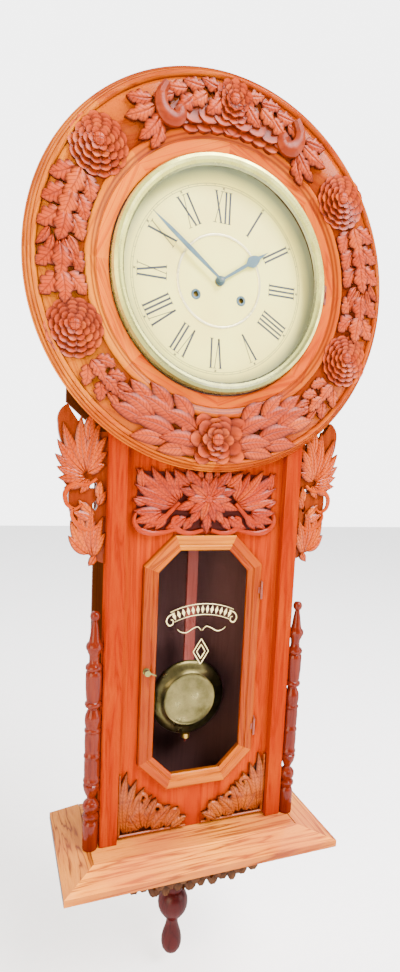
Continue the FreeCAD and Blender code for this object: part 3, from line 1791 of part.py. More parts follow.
PARTS_IN_ORDER = (
    make_back_board,
    make_hanger_plate,
    make_head_boards,
    make_trunk_sides,
    make_pilasters,
    make_front_boards,
    make_base,
    make_columns,
    make_brackets,
    make_bottom_finial,
    make_tail_carving,
    make_head_ring,
    make_inner_ring,
    make_ring_rosettes,
    make_ring_sprays,
    make_apron_carving,
    make_corner_carvings,
    make_bezel,
    make_dial,
    make_hands,
    make_door,
    make_hinges,
    make_plates,
    make_barrels,
    make_going_train,
    make_pallets,
    make_motion_work,
    make_strike_train,
    make_hammer,
    make_gong,
    make_suspension,
    make_pendulum,
)


def check_and_write():
    """Refuse a broken document, then write one STEP file for each sub-part."""
    document.recompute()
    for thing in document.Objects:
        if "Invalid" in thing.State or "Error" in thing.State:
            raise RuntimeError(f"{thing.Label}: {thing.State}")
    os.makedirs("parts", exist_ok=True)
    for thing in nodes:
        if thing.Shape.isNull() or not thing.Shape.isValid():
            raise RuntimeError(f"{thing.Label}: no valid shape")
        thing.Shape.exportStep(f"parts/{thing.Label}.step")


for make_part in PARTS_IN_ORDER:
    make_part()
check_and_write()
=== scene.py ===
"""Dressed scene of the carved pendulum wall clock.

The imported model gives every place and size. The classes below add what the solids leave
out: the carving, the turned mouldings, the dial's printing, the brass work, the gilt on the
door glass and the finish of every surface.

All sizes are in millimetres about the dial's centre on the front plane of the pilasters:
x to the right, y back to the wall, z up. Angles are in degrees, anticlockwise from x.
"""

import logging
import math
import random
from dataclasses import dataclass, field
from enum import Enum
from typing import Sequence

import bmesh
import bpy
from mathutils import Matrix, Vector


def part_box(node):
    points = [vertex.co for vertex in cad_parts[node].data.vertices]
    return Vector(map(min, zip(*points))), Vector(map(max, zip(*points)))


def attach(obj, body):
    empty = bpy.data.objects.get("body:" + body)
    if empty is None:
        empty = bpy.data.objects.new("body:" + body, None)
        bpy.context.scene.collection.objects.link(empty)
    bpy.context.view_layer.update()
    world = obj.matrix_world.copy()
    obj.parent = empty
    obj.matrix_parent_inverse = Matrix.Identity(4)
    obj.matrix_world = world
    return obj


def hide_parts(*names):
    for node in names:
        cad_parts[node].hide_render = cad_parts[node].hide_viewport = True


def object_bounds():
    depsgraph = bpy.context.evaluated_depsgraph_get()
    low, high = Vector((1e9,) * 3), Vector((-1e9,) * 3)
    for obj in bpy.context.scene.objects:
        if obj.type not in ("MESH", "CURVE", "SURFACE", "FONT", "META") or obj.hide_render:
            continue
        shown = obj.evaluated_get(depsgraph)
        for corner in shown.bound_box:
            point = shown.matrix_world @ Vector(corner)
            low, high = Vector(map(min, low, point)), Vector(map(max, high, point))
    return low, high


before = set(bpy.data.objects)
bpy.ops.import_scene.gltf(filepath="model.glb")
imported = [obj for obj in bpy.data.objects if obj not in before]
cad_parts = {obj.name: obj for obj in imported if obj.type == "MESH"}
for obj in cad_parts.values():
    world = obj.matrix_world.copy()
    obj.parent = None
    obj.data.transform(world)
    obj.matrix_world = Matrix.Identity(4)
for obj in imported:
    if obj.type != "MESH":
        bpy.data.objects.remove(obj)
cad_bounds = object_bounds()

log = logging.getLogger("wall_clock")

MM = 0.001
INTO_WALL = Vector((0.0, 1.0, 0.0))
UPWARDS = Vector((0.0, 0.0, 1.0))

Point = tuple[float, float]
Route = tuple[Point, ...]
Stem = tuple[Route, tuple[float, float, float]]
LeafRow = tuple[float, float, float, float, float]
Faces = list[bmesh.types.BMFace]
Tree = bpy.types.NodeTree
Socket = bpy.types.NodeSocket


# ---------------------------------------------------------------- places


@dataclass(frozen=True)
class ClockFrame:
    """Turns sizes about the dial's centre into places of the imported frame.

    Attributes:
        x, z: the dial's centre, in metres.
        front: depth of the front plane of the pilasters, in metres.
    """

    x: float
    z: float
    front: float

    @classmethod
    def from_nodes(cls) -> "ClockFrame":
        """Read the centre from the dial plate and the plane from a pilaster."""
        low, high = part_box("dial_plate")
        return cls((low[0] + high[0]) / 2, (low[2] + high[2]) / 2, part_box("pilaster_left")[0][1])

    def matrix(self) -> Matrix:
        """The transform from millimetres about the dial's centre to the frame."""
        return Matrix.Translation((self.x, self.front, self.z)) @ Matrix.Diagonal((MM, MM, MM, 1.0))

    def size_of(self, node: str) -> tuple[Vector, Vector]:
        """Measure a node in millimetres about the dial's centre.

        Args:
            node: the node's name.

        Returns:
            Its lowest and its highest corner.
        """
        origin = Vector((self.x, self.front, self.z))
        low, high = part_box(node)
        return (Vector(low) - origin) / MM, (Vector(high) - origin) / MM


clock = ClockFrame.from_nodes()


def on_circle(centre: Point, radius: float, degrees: float) -> Point:
    """Find a point on a circle.

    Args:
        centre: the circle's centre.
        radius: its radius.
        degrees: the angle of the point.

    Returns:
        The point.
    """
    angle = math.radians(degrees)
    return (centre[0] + radius * math.cos(angle), centre[1] + radius * math.sin(angle))


def smooth_route(route: Sequence[Point], steps: int) -> list[Point]:
    """Draw a Catmull-Rom curve through a route.

    Args:
        route: the points to pass through.
        steps: points to add per span.

    Returns:
        The curve's points.
    """
    ends = [route[0], *route, route[-1]]
    curve: list[Point] = []
    for i in range(1, len(ends) - 2):
        p0, p1, p2, p3 = (Vector(ends[i + k]) for k in (-1, 0, 1, 2))
        for step in range(steps):
            t = step / steps
            point = 0.5 * (
                2 * p1
                + (p2 - p0) * t
                + (2 * p0 - 5 * p1 + 4 * p2 - p3) * t**2
                + (3 * p1 - p0 - 3 * p2 + p3) * t**3
            )
            curve.append((point.x, point.y))
    curve.append((float(route[-1][0]), float(route[-1][1])))
    return curve


def mirrored(route: Sequence[Point], side: int) -> list[Point]:
    """A route as it is drawn on the right (+1), or its mirror image on the left (-1)."""
    return [(side * x, z) for x, z in route]


# ---------------------------------------------------------------- colour and nodes

# A Mix node set to colours takes its share on socket 0 and its colours on 6 and 7, and
# gives the mixed colour on output 2.
COLOURS = {"data_type": "RGBA"}


def linear(hex_colour: str) -> tuple[float, float, float, float]:
    """Turn an sRGB hex colour into a linear one.

    Args:
        hex_colour: six hex digits with a leading hash.

    Returns:
        Red, green, blue and an alpha of 1.
    """
    values = [int(hex_colour[i : i + 2], 16) / 255 for i in (1, 3, 5)]
    bent = [v / 12.92 if v <= 0.04045 else ((v + 0.055) / 1.055) ** 2.4 for v in values]
    return (bent[0], bent[1], bent[2], 1.0)


def per_metre(millimetres: float) -> float:
    """The scale of a pattern whose marks are this many millimetres apart."""
    return 1.0 / (millimetres * MM)


def add_node(
    tree: Tree,
    kind: str,
    settings: dict[str, object] | None = None,
    inputs: dict[str | int, object] | None = None,
    output: str | int = 0,
    stops: Sequence[tuple[float, str]] = (),
) -> Socket:
    """Add a shader node with its settings and what feeds it.

    Args:
        tree: the node tree.
        kind: the node's type name.
        settings: attributes to set on the node.
        inputs: what goes into its sockets, by name or number: another node's socket, an
            sRGB hex colour or a plain value.
        output: the output that is wanted, by name or number.
        stops: places and sRGB hex colours, where the node holds a colour ramp.

    Returns:
        The wanted output.
    """
    node = tree.nodes.new(kind)
    for name, value in (settings or {}).items():
        setattr(node, name, value)
    for name, value in (inputs or {}).items():
        if isinstance(value, Socket):
            tree.links.new(value, node.inputs[name])
        else:
            node.inputs[name].default_value = linear(value) if isinstance(value, str) else value
    if stops:
        elements = node.color_ramp.elements
        while len(elements) < len(stops):
            elements.new(0.5)
        for element, (place, colour) in zip(elements, stops):
            element.position, element.color = place, linear(colour)
    return node.outputs[output]


def from_axis(tree: Tree) -> Socket:
    """Measure the step from the dial's axis to the shaded place, square to the axis.

    Args:
        tree: the material's node tree.

    Returns:
        The step, in metres.
    """
    place = add_node(tree, "ShaderNodeTexCoord", output="Object")
    step = add_node(
        tree, "ShaderNodeVectorMath", {"operation": "SUBTRACT"}, {0: place, 1: (clock.x, 0.0, clock.z)}
    )
    return add_node(tree, "ShaderNodeVectorMath", {"operation": "MULTIPLY"}, {0: step, 1: (1.0, 0.0, 1.0)})


# ---------------------------------------------------------------- finishes


class Grain(Enum):
    """Which way a board's grain runs, or PIECE where each member carries its own."""

    ACROSS = "x"
    UPRIGHT = "z"
    PIECE = "attribute"


class Finish:
    """A named finish that makes its material once."""

    name: str

    def material(self) -> bpy.types.Material:
        """Find the finish's material, or make it when it is first asked for.

        Returns:
            The material.
        """
        found = bpy.data.materials.get(self.name)
        if found:
            return found
        made = bpy.data.materials.new(self.name)
        made.use_nodes = True
        tree = made.node_tree
        tree.nodes.clear()
        output = tree.nodes.new("ShaderNodeOutputMaterial")
        tree.links.new(self.shade(tree), output.inputs["Surface"])
        return made

    def shade(self, tree: Tree) -> Socket:
        """Build the nodes in a tree and return the shader's socket."""
        raise NotImplementedError


@dataclass(frozen=True)
class LacqueredWood(Finish):
    """Open-grained hardwood stained orange-red under clear lacquer.

    Attributes:
        name: the material's name.
        pale, mid, dark: colours between the pores, of the body and of the late wood.
        flush: a redder or paler tone that drifts over whole boards.
        grain: which way the grain runs.
        ring_width: distance between growth lines on the face, in millimetres.
        contrast: strength of the figure and the pores.
        relief: colour that a "relief" attribute lays on what is low in carving: stain that gathers there, and
            painted shade in hollows, undercuts and piercings.
        stipple: punch marks where a "stipple" attribute is set.
        gloss: roughness of the lacquer.
        coat: how much of the lacquer's shine shows.
        bare: colour of the face against the wall, where it was left unstained.
    """

    name: str
    pale: str
    mid: str
    dark: str
    flush: str
    grain: Grain = Grain.UPRIGHT
    ring_width: float = 7.0
    contrast: float = 1.0
    relief: str = ""
    stipple: bool = False
    gloss: float = 0.1
    coat: float = 0.28
    bare: str = ""

    def coordinates(self, tree: Tree) -> Socket:
        """Place the grain, drawn out eighteen times along its run.

        Args:
            tree: the material's node tree.

        Returns:
            Object coordinates, or the member's own, squeezed along the grain.
        """
        if self.grain is Grain.PIECE:
            place, along = add_node(tree, "ShaderNodeAttribute", {"attribute_name": "grain"}, output="Vector"), 0
        else:
            place, along = add_node(tree, "ShaderNodeTexCoord", output="Object"), "xyz".index(self.grain.value)
        stretch = [1.0, 1.0, 1.0]
        stretch[along] = 0.055
        return add_node(tree, "ShaderNodeMapping", inputs={"Vector": place, "Scale": stretch})

    def figure(self, tree: Tree, place: Socket) -> Socket:
        """Draw the growth lines.

        Args:
            tree: the material's node tree.
            place: coordinates along the grain.

        Returns:
            The wood's colour before pores and stain.
        """
        # One swell of the figure is 2.38 ring widths across, and ten lines fold out of it.
        swell = add_node(
            tree,
            "ShaderNodeTexNoise",
            inputs={
                "Vector": place,
                "Scale": per_metre(2.38 * self.ring_width),
                "Detail": 3.0,
                "Roughness": 0.55,
                "Distortion": 1.1,
            },
        )
        lines = add_node(tree, "ShaderNodeMath", {"operation": "MULTIPLY"}, {0: swell, 1: 10.0})
        late = add_node(tree, "ShaderNodeMath", {"operation": "PINGPONG"}, {0: lines, 1: 1.0})
        stops = ((0.0, self.dark), (0.32, self.mid), (1.0, self.pale))
        body = add_node(tree, "ShaderNodeValToRGB", inputs={"Fac": late}, stops=stops)
        return add_node(
            tree, "ShaderNodeMix", COLOURS, {0: min(1.0, 0.75 * self.contrast), 6: self.mid, 7: body}, 2
        )

    def board_tone(self, tree: Tree, here: Socket, colour: Socket) -> Socket:
        """Let the stain drift over a board, and give each member the tone that it carries, which is random and in
        places painted light and shade.

        Args:
            tree: the material's node tree.
            here: object coordinates.
            colour: the wood's colour.

        Returns:
            The toned colour.
        """
        # Patches of a hand's breadth, as a rag leaves them.
        drift = add_node(
            tree, "ShaderNodeTexNoise", inputs={"Vector": here, "Scale": per_metre(111.0), "Detail": 2.0}
        )
        share = add_node(
            tree,
            "ShaderNodeMapRange",
            inputs={"Value": drift, "From Min": 0.38, "From Max": 0.66, "To Max": 0.55},
        )
        flushed = add_node(tree, "ShaderNodeMix", COLOURS, {0: share, 6: colour, 7: self.flush}, 2)
        tone = add_node(tree, "ShaderNodeAttribute", {"attribute_name": "tone"}, output="Fac")
        value = add_node(tree, "ShaderNodeMath", {"operation": "ADD"}, {0: tone, 1: 1.0})
        # Paler members are drawn yellower too; on the ring's left segments this is painted light.
        hue = add_node(tree, "ShaderNodeMapRange", inputs={"Value": tone, "To Min": 0.5, "To Max": 0.54})
        return add_node(
            tree, "ShaderNodeHueSaturation", inputs={"Color": flushed, "Value": value, "Hue": hue}
        )

    def veins(self, tree: Tree) -> Socket:
        """Cut a carved leaf's rib and side veins.

        The "leaf" attribute holds millimetres along and across the leaf, and 1 where veins are cut.

        Args:
            tree: the material's node tree.

        Returns:
            1 in a cut, 0 beside it.
        """
        leaf = add_node(tree, "ShaderNodeAttribute", {"attribute_name": "leaf"}, output="Vector")
        parts = add_node(tree, "ShaderNodeSeparateXYZ", inputs={"Vector": leaf}).node.outputs
        away = add_node(tree, "ShaderNodeMath", {"operation": "ABSOLUTE"}, {0: parts["Y"]})
        slant = add_node(tree, "ShaderNodeMath", {"operation": "MULTIPLY_ADD"}, {0: away, 1: -0.8, 2: parts["X"]})
        # Side veins stand 5.2 mm apart.
        wave = add_node(tree, "ShaderNodeMath", {"operation": "PINGPONG"}, {0: slant, 1: 2.6})
        side = add_node(tree, "ShaderNodeMapRange", inputs={"Value": wave, "From Min": 0.9, "From Max": 0.3})
        rib = add_node(tree, "ShaderNodeMapRange", inputs={"Value": away, "From Min": 1.1, "From Max": 0.4})
        both = add_node(tree, "ShaderNodeMath", {"operation": "MAXIMUM"}, {0: side, 1: rib})
        return add_node(tree, "ShaderNodeMath", {"operation": "MULTIPLY"}, {0: both, 1: parts["Z"]})

    def carve(self, tree: Tree, colour: Socket, height: Socket) -> tuple[Socket, Socket]:
        """Darken the hollows of carving with stain and painted shade, and cut its veins.

        Args:
            tree: the material's node tree.
            colour: the wood's colour.
            height: its fine height.

        Returns:
            The new colour and the new height.
        """
        # Low places take the relief colour: partly stain, partly painted shade.
        crest = add_node(tree, "ShaderNodeAttribute", {"attribute_name": "relief"}, output="Fac")
        hollow = add_node(
            tree,
            "ShaderNodeMapRange",
            inputs={"Value": crest, "From Min": 0.88, "From Max": 0.0, "To Max": 0.92},
        )
        colour = add_node(tree, "ShaderNodeMix", COLOURS, {0: hollow, 6: colour, 7: self.relief}, 2)
        # The cut veins darken too: stain in the cuts and painted shade.
        cut = self.veins(tree)
        share = add_node(tree, "ShaderNodeMapRange", inputs={"Value": cut, "To Max": 0.45})
        colour = add_node(tree, "ShaderNodeMix", COLOURS, {0: share, 6: colour, 7: self.relief}, 2)
        height = add_node(tree, "ShaderNodeMath", {"operation": "MULTIPLY_ADD"}, {0: cut, 1: -1.0, 2: height})
        return colour, height

    def punch(self, tree: Tree, here: Socket, colour: Socket) -> tuple[Socket, Socket]:
        """Punch the sunk ground between carvings, with stain left in the pits.

        Args:
            tree: the material's node tree.
            here: object coordinates.
            colour: the wood's colour.

        Returns:
            The new colour and the height of the punch marks.
        """
        where = add_node(tree, "ShaderNodeAttribute", {"attribute_name": "stipple"}, output="Fac")
        # Real punch marks are about 2 mm apart; they are drawn 3.7 mm apart so that they show.
        marks = add_node(tree, "ShaderNodeTexVoronoi", inputs={"Vector": here, "Scale": per_metre(3.7)})
        rim = add_node(tree, "ShaderNodeMapRange", inputs={"Value": marks, "From Min": 0.10, "From Max": 0.34})
        height = add_node(tree, "ShaderNodeMath", {"operation": "MULTIPLY"}, {0: rim, 1: where})
        pit = add_node(tree, "ShaderNodeMath", {"operation": "MULTIPLY_ADD"}, {0: rim, 1: -0.35, 2: 0.35})
        stain = add_node(tree, "ShaderNodeMath", {"operation": "MULTIPLY"}, {0: pit, 1: where})
        return add_node(tree, "ShaderNodeMix", COLOURS, {0: stain, 6: colour, 7: self.dark}, 2), height

    def shade(self, tree: Tree) -> Socket:
        """Build figure, pores, tone, stain and lacquer.

        Args:
            tree: the material's node tree.

        Returns:
            The shader's socket.
        """
        place = self.coordinates(tree)
        here = add_node(tree, "ShaderNodeTexCoord", output="Object")
        # Vessels of elm are about 0.2 mm wide; they are drawn 0.87 mm wide so that they show.
        pores = add_node(
            tree,
            "ShaderNodeTexNoise",
            inputs={"Vector": place, "Scale": per_metre(0.87), "Detail": 2.0, "Roughness": 0.7},
        )
        open_pore = add_node(
            tree,
            "ShaderNodeMapRange",
            inputs={"Value": pores, "From Min": 0.56, "From Max": 0.70, "To Max": 0.34 * self.contrast},
        )
        body = self.figure(tree, place)
        colour = add_node(tree, "ShaderNodeMix", COLOURS, {0: open_pore, 6: body, 7: self.dark}, 2)
        colour = self.board_tone(tree, here, colour)
        if self.bare:
            depth = add_node(tree, "ShaderNodeSeparateXYZ", inputs={"Vector": here}, output="Y")
            at_wall = add_node(
                tree, "ShaderNodeMapRange", inputs={"Value": depth, "From Min": -0.0012, "From Max": -0.0004}
            )
            raw = add_node(tree, "ShaderNodeMix", COLOURS, {0: open_pore, 6: self.bare, 7: self.dark}, 2)
            colour = add_node(tree, "ShaderNodeMix", COLOURS, {0: at_wall, 6: colour, 7: raw}, 2)
        height, strength = pores, 0.06
        if self.relief:
            colour, height = self.carve(tree, colour, height)
            strength = 0.28
        if self.stipple:
            colour, height = self.punch(tree, here, colour)
            strength = 0.35
        normal = add_node(
            tree, "ShaderNodeBump", inputs={"Height": height, "Strength": strength, "Distance": 0.0006}
        )
        return add_node(
            tree,
            "ShaderNodeBsdfPrincipled",
            inputs={
                "Base Color": colour,
                "Normal": normal,
                "Roughness": 0.6,
                "Specular IOR Level": 0.0,
                "Coat Weight": self.coat,
                "Coat Roughness": self.gloss,
                "Coat IOR": 1.5,
            },
        )


@dataclass(frozen=True)
class Metal(Finish):
    """Bare, plated or painted metal, or a printed film, with a faint cloud of tarnish, and on some brass a painted
    shade.

    Attributes:
        name: the material's name.
        bright, tarnished: colours of clean and of dulled metal.
        roughness: of the clean metal.
        metallic: 1 for bare metal, 0 for paint.
        cloud: size of the tarnish clouds, in millimetres.
        painted_low_shade: colour of painted shade on what lies below the dial's centre, if any.
        inside: colour of painted shade on a ring's wall that faces the dial's axis.
    """

    name: str
    bright: str
    tarnished: str
    roughness: float = 0.18
    metallic: float = 1.0
    cloud: float = 18.0
    painted_low_shade: str = ""
    inside: str = "#3c4648"

    def paint_ring_shade(self, tree: Tree, place: Socket, colour: Socket) -> Socket:
        """Paint shade on what lies below the dial's centre, and on a ring's wall towards the axis.

        Args:
            tree: the material's node tree.
            place: object coordinates.
            colour: the clean colour.

        Returns:
            The colour with painted shade.
        """
        # Painted shade: darker towards the bottom, and blue-grey on walls that face the dial's axis.
        height = add_node(tree, "ShaderNodeSeparateXYZ", inputs={"Vector": place}, output="Z")
        low = add_node(
            tree,
            "ShaderNodeMapRange",
            inputs={"Value": height, "From Min": clock.z - 0.01, "From Max": clock.z - 0.13, "To Max": 0.85},
        )
        colour = add_node(tree, "ShaderNodeMix", COLOURS, {0: low, 6: colour, 7: self.painted_low_shade}, 2)
        normal = add_node(tree, "ShaderNodeNewGeometry", output="Normal")
        outward = add_node(
            tree, "ShaderNodeVectorMath", {"operation": "DOT_PRODUCT"}, {0: normal, 1: from_axis(tree)}, "Value"
        )
        wall = add_node(
            tree,
            "ShaderNodeMapRange",
            inputs={"Value": outward, "From Min": -0.05, "From Max": -0.12, "To Max": 0.95},
        )
        return add_node(tree, "ShaderNodeMix", COLOURS, {0: wall, 6: colour, 7: self.inside}, 2)

    def shade(self, tree: Tree) -> Socket:
        """Build the tarnish clouds and the fine unevenness of the surface.

        Args:
            tree: the material's node tree.

        Returns:
            The shader's socket.
        """
        place = add_node(tree, "ShaderNodeTexCoord", output="Object")
        clouds = add_node(
            tree,
            "ShaderNodeTexNoise",
            inputs={"Vector": place, "Scale": per_metre(self.cloud), "Detail": 5.0, "Roughness": 0.6},
        )
        stops = ((0.35, self.bright), (0.72, self.tarnished))
        colour = add_node(tree, "ShaderNodeValToRGB", inputs={"Fac": clouds}, stops=stops)
        rough = add_node(
            tree,
            "ShaderNodeMapRange",
            inputs={
                "Value": clouds,
                "From Min": 0.3,
                "From Max": 0.7,
                "To Min": self.roughness,
                "To Max": self.roughness + 0.12,
            },
        )
        if self.painted_low_shade:
            colour = self.paint_ring_shade(tree, place, colour)
        # Polishing leaves marks finer than 0.1 mm; they are drawn 1.11 mm apart so that they show.
        fine = add_node(
            tree, "ShaderNodeTexNoise", inputs={"Vector": place, "Scale": per_metre(1.11), "Detail": 2.0}
        )
        normal = add_node(
            tree, "ShaderNodeBump", inputs={"Height": fine, "Strength": 0.03, "Distance": 0.0004}
        )
        return add_node(
            tree,
            "ShaderNodeBsdfPrincipled",
            inputs={"Base Color": colour, "Roughness": rough, "Metallic": self.metallic, "Normal": normal},
        )


@dataclass(frozen=True)
class DialPaint(Finish):
    """Baked cream dial enamel, a little yellowed, with faint foxing, and painted shade and reflection of the bezel
    round its edge.

    Attributes:
        name: the material's name.
        clean, aged: colours of fresh and of yellowed enamel.
        painted_bezel_shade: blue-grey colour of painted shade and reflection under the bezel, round the dial's
            edge.
    """

    name: str = "baked_dial_enamel"
    clean: str = "#f4ee88"
    aged: str = "#ecdc7c"
    painted_bezel_shade: str = "#647679"

    def shade(self, tree: Tree) -> Socket:
        """Build a slow drift from clean to aged cream under a soft gloss, with painted shade and reflection round
        the edge.

        Args:
            tree: the material's node tree.

        Returns:
            The shader's socket.
        """
        place = add_node(tree, "ShaderNodeTexCoord", output="Object")
        # Yellowing in patches of 71 mm, foxing in specks of 2.4 mm.
        drift = add_node(
            tree, "ShaderNodeTexNoise", inputs={"Vector": place, "Scale": per_metre(71.4), "Detail": 3.0}
        )
        speck = add_node(
            tree, "ShaderNodeTexNoise", inputs={"Vector": place, "Scale": per_metre(2.38), "Detail": 1.0}
        )
        stops = ((0.36, self.clean), (0.74, self.aged))
        cream = add_node(tree, "ShaderNodeValToRGB", inputs={"Fac": drift}, stops=stops)
        foxed = add_node(
            tree,
            "ShaderNodeMapRange",
            inputs={"Value": speck, "From Min": 0.66, "From Max": 0.76, "To Max": 0.25},
        )
        cream = add_node(tree, "ShaderNodeMix", COLOURS, {0: foxed, 6: cream, 7: self.aged}, 2)
        # Painted shade and reflection: the outer band darkens to blue-grey towards the bezel.
        reach = add_node(tree, "ShaderNodeVectorMath", {"operation": "LENGTH"}, {0: from_axis(tree)}, "Value")
        shade = add_node(
            tree,
            "ShaderNodeMapRange",
            inputs={"Value": reach, "From Min": 0.117, "From Max": 0.131, "To Max": 0.8},
        )
        colour = add_node(tree, "ShaderNodeMix", COLOURS, {0: shade, 6: cream, 7: self.painted_bezel_shade}, 2)
        return add_node(
            tree, "ShaderNodeBsdfPrincipled", inputs={"Base Color": colour, "Roughness": 0.42, "IOR": 1.5}
        )


@dataclass(frozen=True)
class ClearGlass(Finish):
    """Thin window glass: clear through, with a sheen at slanting views.

    Attributes:
        name: the material's name.
        tint: the colour that it lets through.
    """

    name: str = "float_glass"
    tint: str = "#fdfefd"

    def shade(self, tree: Tree) -> Socket:
        """Build transparency under a Fresnel-weighted gloss.

        Args:
            tree: the material's node tree.

        Returns:
            The shader's socket.
        """
        through = add_node(tree, "ShaderNodeBsdfTransparent", inputs={"Color": self.tint})
        gloss = add_node(
            tree,
            "ShaderNodeBsdfPrincipled",
            inputs={"Base Color": "#ffffff", "Metallic": 1.0, "Roughness": 0.02},
        )
        # Weaker than real glass, and none nearer head-on, where so faint a sheen only speckles.
        sheen = add_node(tree, "ShaderNodeFresnel", inputs={"IOR": 1.12})
        slanting = add_node(tree, "ShaderNodeMapRange", inputs={"Value": sheen, "From Min": 0.01})
        return add_node(tree, "ShaderNodeMixShader", inputs={0: slanting, 1: through, 2: gloss})


# Elm, planed, stained orange-red and thinly lacquered: flat bright posts with faint upright streaks.
PILASTER_WOOD = LacqueredWood(
    "lacquered_elm_pilasters", "#943801", "#802300", "#5c1000", "#7a1800", contrast=0.7, coat=0.0
)
# The same elm in wide boards: broader figure, a shade lighter than the posts beside it.
PANEL_WOOD = LacqueredWood(
    "lacquered_elm_boards", "#a84101", "#902b00", "#661700", "#872000",
    ring_width=10.0, contrast=0.75, coat=0.0,
)
# Elm mouldings, each length cut from its own stock: streaks turn at every mitre, some lengths are pale.
DOOR_WOOD = LacqueredWood(
    "lacquered_elm_mouldings", "#934303", "#843002", "#581902", "#7c2502", Grain.PIECE,
    ring_width=6.0, coat=0.12,
)
# Elm segments glued into a ring and turned: eight tones round the ring, the left ones paler and yellower as painted
# light; stain and painted shade in the grooves, stain in the punches.
RING_WOOD = LacqueredWood(
    "lacquered_elm_ring", "#a65405", "#983f03", "#6a1f02", "#8f2f02", Grain.PIECE, 12.0, 0.8,
    relief="#5a1a04", stipple=True, gloss=0.16, coat=0.14,
)
# Short elm segments turned flat and rubbed down: the smoothest and palest wood of the head, its left segments paler
# still as painted light.
INNER_RING_WOOD = LacqueredWood(
    "lacquered_elm_inner_ring", "#b65d06", "#b04904", "#812b02", "#a53503", Grain.PIECE, 9.0, 1.0,
    gloss=0.14, coat=0.12,
)
# Chisel-cut elm: cuts and hollows go dark red, partly as end grain drinks the stain and partly as painted shade,
# and crests stay bright.
CARVED_WOOD = LacqueredWood(
    "carved_elm_lacquered", "#ac4922", "#963613", "#631f0b", "#8a2a0e", Grain.ACROSS, 14.0, 0.6,
    gloss=0.34, coat=0.24, relief="#2c0703",
)
# Carved elm of the apron: redder and glossier than the ring's, its piercings nearly black with painted shade.
APRON_WOOD = LacqueredWood(
    "carved_elm_apron", "#a73a0f", "#902a09", "#5e1705", "#842106", Grain.ACROSS, 14.0, 0.6,
    gloss=0.28, coat=0.26, relief="#2c0603",
)
# Carved elm of the corners: browner, with a stronger shine on its crests, and nearly black painted shade between
# its leaves.
CORNER_WOOD = LacqueredWood(
    "carved_elm_corners", "#9e5316", "#893c0f", "#511b07", "#7a2d08", Grain.ACROSS, 12.0, 0.6,
    gloss=0.28, coat=0.3, relief="#240803",
)
# Carved elm of the brackets: the leaves catch the light as bright orange ribs.
BRACKET_WOOD = LacqueredWood(
    "carved_elm_brackets", "#b65511", "#a33e0a", "#6f2204", "#953307", Grain.UPRIGHT, 12.0, 0.5, "#340e02"
)
# Fret-sawn elm under that carving: the brackets' wood made darker, as painted shade behind the leaves.
BRACKET_GROUND = LacqueredWood(
    "sawn_elm_bracket_boards", "#7e370a", "#6e2706", "#461302", "#651f04", Grain.UPRIGHT, 12.0, 0.5
)
# Carved elm under the shelf, stained but barely lacquered: dull brown, out of the light.
TAIL_WOOD = LacqueredWood(
    "carved_elm_tail", "#5b3f2b", "#4d3323", "#2b180f", "#43281a", Grain.UPRIGHT, 12.0, 0.5,
    gloss=0.4, coat=0.1, relief="#140804",
)
# Beech turned and lacquered: close-grained dark red, with a bright line down each bead.
COLUMN_WOOD = LacqueredWood(
    "turned_beech_lacquered", "#68230e", "#571707", "#340803", "#4b0f05", Grain.UPRIGHT, 9.0, 0.6
)
# Beech turned and stained twice: the drop reads nearly black-red with a soft shine.
FINIAL_WOOD = LacqueredWood(
    "turned_beech_dark", "#42110f", "#340a0a", "#1c0404", "#2e0808", Grain.UPRIGHT, 9.0, 0.5,
    gloss=0.3, coat=0.22,
)
# Flat-sawn elm of the shelf, hardly stained: golden boards with strong brown figure.
BASE_WOOD = LacqueredWood(
    "lacquered_elm_base", "#e6902c", "#d57e1c", "#6c2e0a", "#b4522e", Grain.PIECE, 8.0, 1.3, coat=0.2
)
# Elm case sides, left matt: darker brown than the front, as painted shade on the sides and on the boards behind the
# ring and the tail.
SIDE_WOOD = LacqueredWood(
    "lacquered_elm_sides", "#3b1b04", "#331402", "#1d0701", "#2c0d01", ring_width=9.0, gloss=0.5, coat=0.0
)
# Pine inside the case, stained dull mauve-brown, and bare and yellow on the wall side.
INNER_WOOD = LacqueredWood(
    "stained_pine_inside", "#593b39", "#503433", "#3e2826", "#4a302e", Grain.UPRIGHT, 10.0, 0.3,
    gloss=0.5, coat=0.05, bare="#8a6238",
)
# Beech pendulum rod, stained red: a plain warm strip against the dark inside.
ROD_WOOD = LacqueredWood(
    "stained_beech_rod", "#7a3830", "#6a2c26", "#4a1a17", "#61241f", Grain.UPRIGHT, 5.0, 0.5, gloss=0.3
)
# Cast brass, turned and polished, lacquered thin: pale greenish gold, with olive painted shade below the dial's
# centre and blue-grey painted shade on the bezel's inner wall.
POLISHED_BRASS = Metal("polished_cast_brass", "#dce07a", "#b6b058", 0.2, 0.6, painted_low_shade="#4c4a26")
# Sheet brass spun to a lens and left to tarnish: broad soft glints with brown clouds.
BOB_BRASS = Metal("spun_brass_bob", "#706642", "#3a3419", 0.26, cloud=26.0)
# Stamped and tumbled brass of the works: even satin gold.
MOVEMENT_BRASS = Metal("stamped_brass_works", "#d0ac58", "#a68238", 0.28)
# Drawn steel wire and bar: cool grey with a soft sheen.
STEEL = Metal("drawn_steel", "#a8aaac", "#7c7c7e", 0.3)
# Stamped steel hands under blue-grey paint: flat slate blue against the cream.
BLUED_STEEL = Metal("painted_steel_hands", "#56707e", "#405866", 0.35, 0.2)
# Steel hinge leaves stained over with the case: they sink into the wood beside them.
HINGE_PAINT = Metal("stain_coated_hinge_steel", "#6e2404", "#5a1a03", 0.42, 0.0)
# Printing ink on enamel: matt blue-black numerals.
PRINT_BLACK = Metal("printed_dial_ink", "#2c3440", "#3a424e", 0.6, 0.0)
